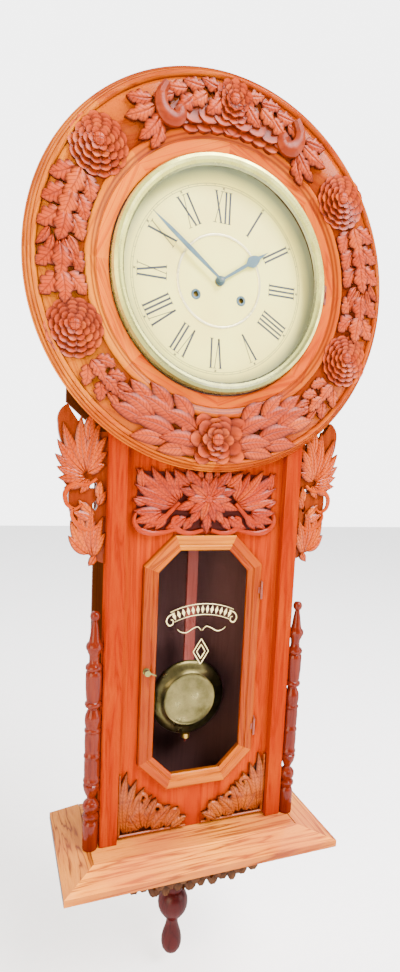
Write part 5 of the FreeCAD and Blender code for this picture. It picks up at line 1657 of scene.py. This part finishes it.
@dataclass
class Bezel:
    """The hinged brass bezel, its strap and its glass, all modelled in the part.

    Attributes:
        ring, strap, glass: the nodes' names.
    """

    ring: str = "bezel_ring"
    strap: str = "bezel_hinge_strap"
    glass: str = "bezel_glass"

    def build(self) -> None:
        """Add nothing: the modelled pieces are shown as they are."""

    def dress(self) -> None:
        """Finish the modelled ring, strap and glass."""
        dress_nodes(POLISHED_BRASS, self.ring)
        dress_nodes(HINGE_PAINT, self.strap)
        dress_nodes(GLASS, self.glass)


# ---------------------------------------------------------------- the trunk


@dataclass
class Door:
    """The eight-sided moulded door, its gilt-decorated glass and its turn latch.

    Attributes:
        half: half its width.
        crown, foot: heights of its upper and lower edge.
        corner: how much is cut off each corner, sideways and upwards.
        face, back: depths of the moulding's front and back.
        wide: width of the moulding.
        glass_face: depth of the glass's front.
        gilt: thickness of the gilding.
    """

    half: float = 84.3
    crown: float = -324.9
    foot: float = -679.3
    corner: float = 41.0
    face: float = 4.2
    back: float = 20.0
    wide: float = 20.2
    glass_face: float = 8.2
    gilt: float = 0.14

    def build(self) -> None:
        """Build the mouldings and the gilding."""
        self.build_frame()
        self.build_gilding()

    def dress(self) -> None:
        """Finish the modelled glass, latch and hinges."""
        dress_nodes(GLASS, "door_glass")
        dress_nodes(POLISHED_BRASS, "door_latch")
        dress_nodes(HINGE_PAINT, "door_hinge_straps", "hinge_leaves")

    def corners(self) -> list[Point]:
        """Place the outline's corners.

        Returns:
            The corners, anticlockwise from the lower right.
        """
        half, crown, foot, cut = self.half, self.crown, self.foot, self.corner
        return [
            (half, foot + cut),
            (half, crown - cut),
            (half - cut, crown),
            (cut - half, crown),
            (-half, crown - cut),
            (-half, foot + cut),
            (cut - half, foot),
            (half - cut, foot),
        ]

    def build_frame(self) -> None:
        """Build eight mitred lengths of moulding, each in a tone of its own, the top and bottom ones palest."""
        piece = Workpiece("door_moulding")
        face, back, wide = self.face, self.back, self.wide
        section = [
            (1.0, back), (0.0, face + 6.0), (0.0, face + 1.8), (0.5, face + 0.7), (1.6, face),
            (10.2, face), (11.2, face + 0.5), (11.8, face + 1.8), (12.8, face + 1.9), (13.8, face + 1.0),
            (15.0, face + 0.6), (16.6, face + 0.8), (18.2, face + 1.5), (19.6, face + 2.6), (wide, face + 3.4),
            (wide, face + 3.9), (wide - 4.0, face + 3.9), (wide - 4.0, back),
        ]
        corners = self.corners()
        count = len(corners)
        normals = []
        for i in range(count):
            (x0, z0), (x1, z1) = corners[i], corners[(i + 1) % count]
            length = math.hypot(x1 - x0, z1 - z0)
            normals.append((-(z1 - z0) / length, (x1 - x0) / length))
        loops = []
        for i, (x, z) in enumerate(corners):
            (ax, az), (bx, bz) = normals[i - 1], normals[i]
            share = 1.0 + ax * bx + az * bz
            loops.append([Vector((x + n * (ax + bx) / share, y, z + n * (az + bz) / share)) for n, y in section])
        tones = (-0.12, 0.0, 0.65, 0.25, -0.15, 0.1, 0.45, 0.2)
        for i in range(count):
            faces = piece.skin([loops[i], loops[(i + 1) % count]])
            start, end = corners[i], corners[(i + 1) % count]
            along = Vector((end[0] - start[0], 0.0, end[1] - start[1]))
            piece.lay_grain(faces, Vector((start[0], 0.0, start[1])), along, 0.27 * i, tones[i])
        piece.finish("door", DOOR_WOOD, "case_wood", ["door_frame"], sharp=30.0)

    def build_gilding(self) -> None:
        """Lay an arched band of lozenges between fine lines, scrolls at its ends, and a drop below."""
        piece = Workpiece("gilt_ornament")
        carver = Carver(piece, self.glass_face + 0.02)
        centre, leaf = (0.0, -532.0), self.gilt
        for radius in (98.0, 113.0):
            route = [on_circle(centre, radius, 66.0 + 48.0 * step / 12) for step in range(13)]
            carver.vine(route, (0.7, 0.9, 0.7), leaf)
        for number in range(13):
            angle = 67.5 + 45.0 * number / 12
            middle = Vector((*on_circle(centre, 105.5, angle), 0.0))
            out = Vector((math.cos(math.radians(angle)), math.sin(math.radians(angle)), 0.0))
            side = Vector((-out.y, out.x, 0.0))
            tips = [middle + out * 5.8, middle + side * 2.3, middle - out * 5.8, middle - side * 2.3]
            corners = [Vector((tip.x, self.glass_face + 0.02, tip.y)) for tip in tips]
            piece.prism(corners, Vector((0.0, -leaf, 0.0)))
        for side in (-1, 1):
            curl = [(40, -430), (48, -434), (51, -441), (47, -447), (42, -445), (42, -440), (45, -439)]
            carver.vine(mirrored(curl, side), (1.4, 1.8, 0.8), leaf)
            sweep = [(1, -456), (6, -451), (13, -453), (22, -458), (30, -457), (35, -453)]
            carver.vine(mirrored(sweep, side), (0.8, 1.3, 0.5), leaf)
        for reach in (18.0, 10.0):
            outline = [(0, -486 + reach), (0.62 * reach, -486), (0, -486 - reach), (-0.62 * reach, -486)]
            for start, end in zip(outline, outline[1:] + outline[:1]):
                carver.vine([start, end], (0.9, 1.5, 0.9), leaf)
        piece.finish("door", GILT, "brass", sharp=20.0)


@dataclass
class Trunk:
    """The long case: pilasters, boards, carved apron and corners, brackets and columns.

    Leaves are given as x, z, direction, length and width, and stems as a route and three
    thicknesses, all as on the right.

    Attributes:
        ground: depth of the dark sheet of painted shade behind pierced carving.
        plane, bracket_plane: depths of the planes that the carvings stand on.
        apron_stems, apron_wing: stems and leaves of one half of the apron.
        corner_leaves, corner_tufts, corner_curls: blades, lobed leaves and stems of a corner.
        bracket_leaves, bracket_scrolls: leaves and scrolls of a side bracket.
        column_beads: radius, as a share of the widest, and height along a column's outline.
    """

    ground: float = 12.0
    plane: float = 10.8
    bracket_plane: float = 12.2
    apron_stems: tuple[Stem, ...] = (
        (((6, -318), (22, -322), (36, -320), (46, -312), (47, -303), (40, -300)), (5, 8, 4)),
        (((44, -317), (60, -321), (78, -322), (93, -317), (100, -306), (98, -296)), (5, 8, 4)),
        (((40, -282), (52, -294), (64, -306), (76, -308), (82, -300)), (5, 7, 4)),
    )
    apron_wing: tuple[LeafRow, ...] = (
        (46, -286, 12, 54, 15), (44, -284, 24, 62, 16), (42, -282, 37, 72, 17), (42, -280, 50, 58, 16),
        (40, -278, 64, 44, 15), (38, -276, 80, 34, 14), (64, -292, -2, 38, 14), (64, -294, -20, 40, 14),
        (62, -296, -38, 34, 13), (58, -296, -58, 26, 12), (26, -260, 44, 32, 14), (20, -258, 68, 26, 13),
        (10, -256, 86, 20, 12), (90, -264, 86, 26, 12), (30, -300, -30, 32, 14), (22, -300, -56, 22, 12),
        (84, -284, 20, 20, 11),
    )
    corner_leaves: tuple[LeafRow, ...] = (
        (101, -735, 92, 88, 17), (99, -735, 101, 76, 17), (96, -735, 110, 66, 17), (92, -735, 121, 58, 16),
        (86, -735, 134, 46, 15), (80, -734, 100, 44, 15),
    )
    corner_tufts: tuple[LeafRow, ...] = (
        (80, -732, 60, 30, 19), (76, -730, 84, 42, 21), (70, -732, 108, 44, 22), (62, -734, 132, 40, 21),
        (50, -736, 62, 26, 17), (48, -735, 94, 32, 19), (42, -735, 126, 32, 18), (34, -737, 150, 26, 15),
        (28, -737, 104, 20, 14),
    )
    corner_curls: tuple[Stem, ...] = (
        (((72, -722), (64, -706), (54, -701), (48, -707), (53, -712)), (5, 6, 4)),
        (((90, -704), (85, -688), (76, -681), (70, -687), (75, -692)), (5, 6, 4)),
        (((44, -728), (36, -715), (27, -712), (23, -718), (28, -721)), (5, 6, 4)),
    )
    bracket_leaves: tuple[LeafRow, ...] = (
        (160, -248, 152, 26, 13), (160, -246, 134, 36, 14), (160, -246, 118, 50, 15), (160, -246, 104, 62, 16),
        (158, -212, 96, 40, 15), (161, -246, 84, 68, 16), (162, -247, 65, 66, 15), (163, -248, 50, 52, 14),
        (164, -249, 34, 42, 14),
        (164, -250, 16, 34, 13), (163, -252, -4, 32, 13), (161, -254, -26, 30, 12), (158, -254, -62, 22, 11),
        (150, -352, 116, 34, 12), (150, -352, 102, 52, 14), (151, -352, 88, 62, 15), (153, -351, 75, 62, 15),
        (155, -350, 61, 50, 14), (157, -349, 44, 34, 13), (150, -304, 20, 30, 12), (150, -300, 44, 28, 12),
        (146, -288, 120, 22, 11), (144, -280, 92, 24, 11), (148, -350, -60, 16, 10),
    )
    bracket_scrolls: tuple[Route, ...] = (
        ((148, -254), (160, -262), (176, -262), (186, -272), (184, -286), (174, -292), (166, -286)),
        ((144, -312), (156, -318), (170, -312), (178, -300), (176, -290)),
    )
    column_beads: Route = (
        (0.0, 0), (0.90, 0), (0.92, 2), (0.92, 34), (0.86, 36), (0.72, 39), (0.80, 41), (0.98, 44),
        (1.0, 46), (0.98, 48), (0.70, 50), (0.72, 52), (0.92, 55), (1.0, 59), (0.97, 63), (0.82, 66),
        (0.50, 69), (0.47, 71), (0.56, 74), (0.74, 78), (0.88, 82), (0.94, 86), (0.98, 88), (0.98, 90),
        (0.84, 91.5), (0.84, 93), (0.99, 94.5), (0.99, 97), (0.88, 99), (0.92, 110), (0.92, 122), (0.90, 127),
        (0.98, 128.5), (0.98, 131), (0.86, 132.5), (0.90, 140), (0.93, 150), (0.90, 159), (0.86, 162),
        (0.98, 163.5), (0.98, 166), (0.84, 168), (0.94, 174), (0.97, 179), (0.92, 185), (0.74, 190),
        (0.62, 193), (0.62, 195), (0.90, 197), (1.0, 199.5), (0.98, 202), (0.80, 204), (0.86, 208),
        (0.95, 222), (0.97, 238), (0.94, 243), (0.80, 245), (0.98, 247), (1.0, 249.5), (0.94, 252),
        (0.62, 255), (0.58, 260), (0.62, 266), (0.78, 269), (0.80, 271), (0.98, 274), (1.0, 277),
        (0.94, 280), (0.70, 283), (0.60, 288), (0.48, 298), (0.34, 307), (0.30, 309.5), (0.42, 311),
        (0.54, 313), (0.60, 316), (0.54, 319.5), (0.36, 321.8), (0.14, 322.5), (0.0, 322.5),
    )

    def build(self) -> None:
        """Build the carvings and turnings."""
        self.build_apron()
        self.build_corners()
        self.build_brackets()
        self.build_columns()

    def dress(self) -> None:
        """Finish the modelled boards, the brackets' grounds and the hanger."""
        dress_nodes(PILASTER_WOOD, "pilaster_left", "pilaster_right")
        dress_nodes(PANEL_WOOD, "front_stile_left", "front_stile_right", "front_rail_top", "front_rail_bottom")
        dress_nodes(SIDE_WOOD, "trunk_side_left", "trunk_side_right")
        dress_nodes(BRACKET_GROUND, "side_bracket_left", "side_bracket_right")
        dress_nodes(INNER_WOOD, "back_board")
        dress_nodes(STEEL, "hanger_plate")

    def build_apron(self) -> None:
        """Carve the pierced apron: a daisy between ridged wings over a scrolling edge."""
        piece = Workpiece("apron_relief")
        outline = ((95, -242), (97, -314), (60, -318), (0, -320), (-60, -318), (-97, -314), (-95, -242))
        # A dark sheet of painted shade stands behind the piercings.
        self.lay_shade(piece, outline)
        carver = Carver(piece, self.plane)
        for side in (-1, 1):
            for route, thick in self.apron_stems:
                carver.vine(mirrored(route, side), thick, 6.0, 0.5)
            carver.leaves(side, self.apron_wing, 6.0)
        heart = (-1.0, -276.0)
        for petals, reach, wide, base in ((10, 44.0, 15.0, 3.6), (10, 30.0, 12.0, 6.0)):
            for number in range(petals):
                turn = 360.0 * (number + 0.5 * (reach < 40.0)) / petals + 18.0
                long = reach * (1.0 if number % 2 else 0.9)
                carver.leaf(on_circle(heart, 3.0, turn), turn, long, wide, 5.0, base=base)
        carver.button(heart, 5.5, 11.0)
        carver.leaf((-1, -300), -90, 24, 15, 5.0, LeafShape.LOBED, base=1.0)
        piece.finish("case", APRON_WOOD, "carved_wood", ["apron_carving"])

    def lay_shade(self, piece: Workpiece, outline: Sequence[Point]) -> None:
        """Lay a dark sheet of painted shade that shows between pierced leaves.

        Args:
            piece: the carving.
            outline: the ground's corners.
        """
        corners = [Vector((x, self.ground, z)) for x, z in outline]
        for face in piece.prism(corners, Vector((0.0, -0.9, 0.0))):
            for vert in face.verts:
                vert[piece.relief] = 0.0

    def build_corners(self) -> None:
        """Carve the acanthus corners below the door, each inside an L of bead."""
        piece = Workpiece("corner_reliefs")
        for side in (-1, 1):
            outline = [(106, -672), (106, -739), (18, -739), (28, -726), (52, -714), (78, -694), (96, -664)]
            # A dark sheet of painted shade stands behind the piercings.
            self.lay_shade(piece, mirrored(outline, side))
        carver = Carver(piece, self.plane)
        for side in (-1, 1):
            carver.vine([(side * 108, -650), (side * 108, -694), (side * 108, -739)], (3.4, 3.8, 3.8), 4.5)
            carver.vine([(side * 12, -739), (side * 58, -739), (side * 108, -739)], (3.4, 3.8, 3.8), 4.5)
            for route, thick in self.corner_curls:
                carver.vine(mirrored(route, side), thick, 6.0, 0.8)
            carver.leaves(side, self.corner_leaves, 5.0, base=0.3)
            carver.leaves(side, self.corner_tufts, 6.5, LeafShape.LOBED, 0.8)
        piece.finish("case", CORNER_WOOD, "carved_wood", ["corner_carvings"])

    def build_brackets(self) -> None:
        """Carve palmettes all over the pierced side boards."""
        for name, side in (("left", -1), ("right", 1)):
            piece = Workpiece(f"bracket_relief_{name}")
            carver = Carver(piece, self.bracket_plane)
            carver.leaves(side, self.bracket_leaves, 5.5)
            for route in self.bracket_scrolls:
                carver.vine(mirrored(route, side), (4.0, 6.5, 3.0), 6.0, 0.6)
            piece.finish("case", BRACKET_WOOD, "carved_wood")

    def build_columns(self) -> None:
        """Turn the half-height spindles beside the trunk."""
        for name in ("column_left", "column_right"):
            low, high = clock.size_of(name)
            centre = Vector(((low.x + high.x) / 2, (low.y + high.y) / 2, 0.0))
            piece = Workpiece(f"turned_{name}")
            radius = (high.x - low.x) / 2
            profile = [(share * radius, low.z + height) for share, height in self.column_beads]
            piece.turn(profile, UPWARDS, centre, 48)
            piece.finish("case", COLUMN_WOOD, "turned_wood", [name], sharp=45.0)


@dataclass
class Base:
    """The base shelf, the carved tail and the drop finial.

    Attributes:
        border: width of the shelf's sloping border boards.
        bevel: how far they fall to the edge.
        groove: width of the groove round the field board.
        tail_plane: depth of the plane that the tail's lobes stand on.
        tail_tips: x and z of the lobes' tips.
    """

    border: float = 42.0
    bevel: float = 6.5
    groove: float = 1.4
    tail_plane: float = 38.2
    tail_tips: Route = (
        (-130, -834), (-112, -842), (-96, -845), (-78, -850), (-62, -850), (-45, -862), (-28, -864), (-9, -860),
        (10, -864), (27, -861), (46, -863), (62, -858), (78, -863), (95, -857), (113, -854), (128, -844),
    )

    def build(self) -> None:
        """Build the shelf's boards, the tail and the finial."""
        self.build_shelf()
        self.build_tail()
        self.build_finial()

    def dress(self) -> None:
        """Finish the modelled board behind the tail's lobes."""
        dress_nodes(SIDE_WOOD, "tail_carving")

    def block(
        self, piece: Workpiece, outline: Sequence[Vector], low: float, along: Vector, seed: float, tone: float
    ) -> None:
        """Build a board with a top outline and a flat underside, its upright edges darkened as painted shade.

        Args:
            piece: the workpiece.
            outline: corners of the top.
            low: height of the underside.
            along: the grain's direction.
            seed: an offset that keeps boards from matching.
            tone: added brightness.
        """
        lower = [Vector((corner.x, corner.y, low)) for corner in outline]
        faces = piece.skin([lower, outline])
        piece.lay_grain(faces, lower[0], along, seed, tone)
        # Upright faces are darkened, as painted shade.
        for face in faces:
            face.normal_update()
            if abs(face.normal.z) < 0.5:
                for loop in face.loops:
                    loop[piece.tone] = tone - 0.55

    def build_shelf(self) -> None:
        """Build a field board inside three sloping border boards, mitred at the front."""
        piece = Workpiece("base_shelf")
        low, high = clock.size_of("base_board")
        gap = self.groove / 2
        inner = (low.x + self.border, high.x - self.border, low.y + self.border)
        rim = high.z - self.bevel
        front_left, front_right = Vector((low.x, low.y, rim)), Vector((high.x, low.y, rim))
        joint_left, joint_right = Vector((inner[0], inner[2], high.z)), Vector((inner[1], inner[2], high.z))
        back_left, back_right = Vector((low.x, high.y, rim)), Vector((high.x, high.y, rim))
        wall_left, wall_right = Vector((inner[0], high.y, high.z)), Vector((inner[1], high.y, high.z))
        across, deep = Vector((1, 0, 0)), Vector((0, 1, 0.001))
        self.block(piece, [front_left, front_right, joint_right, joint_left], low.z, across, 0.2, 0.12)
        self.block(piece, [front_left, joint_left, wall_left, back_left], low.z, deep, 0.7, -0.42)
        self.block(piece, [front_right, back_right, wall_right, joint_right], low.z, deep, 1.3, -0.2)
        field_corners = [
            joint_left + Vector((gap, gap, -0.8)), joint_right + Vector((-gap, gap, -0.8)),
            wall_right + Vector((-gap, 0, -0.8)), wall_left + Vector((gap, 0, -0.8)),
        ]
        self.block(piece, field_corners, low.z, across, 1.9, -0.2)
        piece.finish("case", BASE_WOOD, "case_wood", ["base_board"], sharp=3.0)

    def build_tail(self) -> None:
        """Carve the rounded lobes that hang from under the shelf before the finial."""
        piece = Workpiece("tail_relief")
        carver = Carver(piece, self.tail_plane)
        for number, (x, tip) in enumerate(self.tail_tips):
            wide = 15.0 + 2.5 * (number % 3)
            carver.leaf((x, tip + 27.0), -90, 27.0, wide, 7.0, LeafShape.PETAL)
            carver.leaf((x + 7.0, tip + 37.0), -90, 26.0, wide, 7.0, LeafShape.PETAL, base=3.0)
            carver.leaf((x, tip + 50.0), -90, 26.0, wide, 7.0, LeafShape.PETAL, base=4.0)
        piece.finish("case", TAIL_WOOD, "carved_wood")

    def build_finial(self) -> None:
        """Turn the drop: collar, long neck, ball and pear."""
        low, high = clock.size_of("bottom_finial")
        centre = Vector((0.0, (low.y + high.y) / 2, 0.0))
        tip, under = low.z, high.z
        outline = [
            (0.0, under), (15.0, under), (15.0, under - 13), (13.6, under - 16), (12.0, under - 20),
            (11.4, under - 60), (12.0, tip + 122), (14.6, tip + 119), (15.2, tip + 116), (14.6, tip + 112),
            (14.0, tip + 109), (17.5, tip + 106), (21.2, tip + 100), (23.2, tip + 93), (23.6, tip + 87),
            (22.8, tip + 81), (20.6, tip + 75), (16.0, tip + 68), (11.2, tip + 62), (9.3, tip + 57),
            (9.4, tip + 52), (10.6, tip + 46), (12.8, tip + 39), (14.8, tip + 32), (16.0, tip + 25),
            (16.0, tip + 18), (14.6, tip + 11), (11.0, tip + 5), (6.0, tip + 1.4), (0.0, tip),
        ]
        piece = Workpiece("drop_finial")
        piece.turn(outline, UPWARDS, centre, 64)
        piece.finish("case", FINIAL_WOOD, "turned_wood", ["bottom_finial"], sharp=45.0)


# ---------------------------------------------------------------- the works


@dataclass
class Pendulum:
    """The rod, its spun brass bob and the rating nut.

    Attributes:
        steps: segments of the bob's turning.
    """

    steps: int = 128

    def build(self) -> None:
        """Spin the lens of the bob, with a bead round its dished middle."""
        low, high = clock.size_of("pendulum_bob")
        centre = Vector((0.0, 0.0, (low.z + high.z) / 2))
        radius, front, back = (high.x - low.x) / 2, low.y, high.y
        outline = [
            (0.0, front + 1.2), (8.0, front + 1.3), (20.0, front + 1.8), (30.0, front + 2.6), (36.5, front + 3.3),
            (37.6, front + 2.4), (38.8, front + 1.8), (40.0, front + 2.4), (41.2, front + 3.8), (46.0, front + 5.2),
            (51.0, front + 7.2), (54.4, front + 9.2), (radius, front + 11.2), (radius, front + 12.0),
            (54.0, front + 14.0), (46.0, back - 4.0), (30.0, back - 1.2), (12.0, back), (0.0, back),
        ]
        piece = Workpiece("bob_shell")
        piece.turn(outline, INTO_WALL, centre, self.steps)
        piece.finish("pendulum", BOB_BRASS, "brass", ["pendulum_bob"], sharp=50.0)

    def dress(self) -> None:
        """Finish the modelled rod, spring, nut and cock."""
        dress_nodes(ROD_WOOD, "pendulum_rod")
        dress_nodes(STEEL, "suspension_spring")
        dress_nodes(MOVEMENT_BRASS, "rating_nut", "suspension_cock")


@dataclass
class Movement:
    """The brass and steel of the works, all modelled in the part.

    Attributes:
        brass, steel: the nodes of each metal.
    """

    brass: tuple[str, ...] = (
        "front_plate", "back_plate", "plate_pillars", "hour_wheel", "minute_wheel", "third_wheel",
        "escape_wheel", "time_barrel", "strike_barrel", "pin_wheel", "fly", "cannon_pinion",
    )
    steel: tuple[str, ...] = ("centre_arbor", "pallets", "strike_hammer", "gong")

    def build(self) -> None:
        """Add nothing: the modelled pieces are shown as they are."""

    def dress(self) -> None:
        """Finish the works and their battens."""
        dress_nodes(MOVEMENT_BRASS, *self.brass)
        dress_nodes(STEEL, *self.steel)
        dress_nodes(INNER_WOOD, "movement_battens")


# ---------------------------------------------------------------- the studio


@dataclass
class Studio:
    """Pale floor, soft lights and the camera.

    Attributes:
        eye: where the camera stands, in metres.
        yaw, pitch, roll: its heading, in radians.
        lens: its focal length on a 36 mm sensor.
        rise: its upward shift.
    """

    eye: tuple[float, float, float] = (-0.26928, -0.79345, -0.40258)
    yaw: float = 0.35791
    pitch: float = -0.11517
    roll: float = 0.0453
    lens: float = 560.0 * 36.0 / 972.0
    rise: float = 0.0442

    def build(self) -> None:
        """Lay the floor, hang the lights and set the camera."""
        self.lay_floor()
        self.light("key", (1.2, -1.9, 2.3), (0.0, 0.0, -0.3), 2.0, 500.0, "#fdf8fb")
        self.light("left_fill", (-1.9, -1.6, -0.2), (0.0, 0.0, -0.4), 1.6, 120.0, "#ffe6c4")
        self.light("right_fill", (2.0, -1.3, -0.2), (0.0, 0.0, -0.4), 1.4, 60.0, "#fff4f0")
        self.light_room()
        self.set_camera()

    def lay_floor(self) -> None:
        """A wide pale floor under the clock."""
        bm = bmesh.new()
        depth = Matrix.Translation((0.0, 0.0, cad_bounds[0][2] - 0.03))
        bmesh.ops.create_grid(bm, x_segments=1, y_segments=1, size=6.0, matrix=depth)
        mesh = bpy.data.meshes.new("floor")
        bm.to_mesh(mesh)
        bm.free()
        floor = bpy.data.objects.new("floor", mesh)
        bpy.context.scene.collection.objects.link(floor)
        mesh.materials.append(FLOOR_PAPER.material())

    def light(
        self,
        name: str,
        place: tuple[float, float, float],
        target: tuple[float, float, float],
        size: float,
        power: float,
        colour: str,
    ) -> None:
        """Hang a square soft light.

        Args:
            name: its name.
            place: where it hangs, in metres.
            target: the point that it looks at.
            size: length of its edge, in metres.
            power: its power, in watts.
            colour: its sRGB hex colour.
        """
        lamp = bpy.data.lights.new(name, "AREA")
        lamp.energy, lamp.size, lamp.color = power, size, linear(colour)[:3]
        holder = bpy.data.objects.new(name, lamp)
        holder.location = place
        aim = Vector(target) - Vector(place)
        holder.rotation_euler = aim.to_track_quat("-Z", "Y").to_euler()
        bpy.context.scene.collection.objects.link(holder)

    def light_room(self) -> None:
        """Bright walls behind the clock and dim ones before it, so that polish isn't veiled."""
        world = bpy.data.worlds.new("studio")
        world.use_nodes = True
        tree = world.node_tree
        heading = add_node(tree, "ShaderNodeTexCoord", output="Generated")
        depth = add_node(tree, "ShaderNodeSeparateXYZ", inputs={0: heading}, output="Y")
        strength = add_node(
            tree,
            "ShaderNodeMapRange",
            {"interpolation_type": "SMOOTHSTEP"},
            {"Value": depth, "From Min": -0.1, "From Max": 0.45, "To Min": 0.5, "To Max": 5.0},
        )
        walls = tree.nodes["Background"]
        walls.inputs["Color"].default_value = linear("#ffffff")
        tree.links.new(strength, walls.inputs["Strength"])
        bpy.context.scene.world = world

    def set_camera(self) -> None:
        """Stand the camera at the viewing place, a little left of the clock and below the dial."""
        ahead = Vector((
            math.sin(self.yaw) * math.cos(self.pitch),
            math.cos(self.yaw) * math.cos(self.pitch),
            math.sin(self.pitch),
        ))
        right = Vector((math.cos(self.yaw), -math.sin(self.yaw), 0.0))
        up = right.cross(ahead)
        across = right * math.cos(self.roll) + up * math.sin(self.roll)
        upright = up * math.cos(self.roll) - right * math.sin(self.roll)
        lens = bpy.data.cameras.new("camera")
        lens.lens, lens.sensor_width, lens.shift_y = self.lens, 36.0, self.rise
        lens.clip_start = 0.01
        camera = bpy.data.objects.new("camera", lens)
        turn = Matrix((across, upright, -ahead)).transposed()
        camera.matrix_world = Matrix.Translation(self.eye) @ turn.to_4x4()
        bpy.context.scene.collection.objects.link(camera)
        bpy.context.scene.camera = camera


def main() -> None:
    """Build the clock from the head down, then the studio."""
    logging.basicConfig(level=logging.INFO, format="%(message)s")
    for part in (CarvedHead(), Dial(), Bezel(), Door(), Trunk(), Base(), Pendulum(), Movement()):
        log.info("%s", type(part).__name__)
        part.build()
        part.dress()
    Studio().build()


if __name__ == "__main__":
    main()
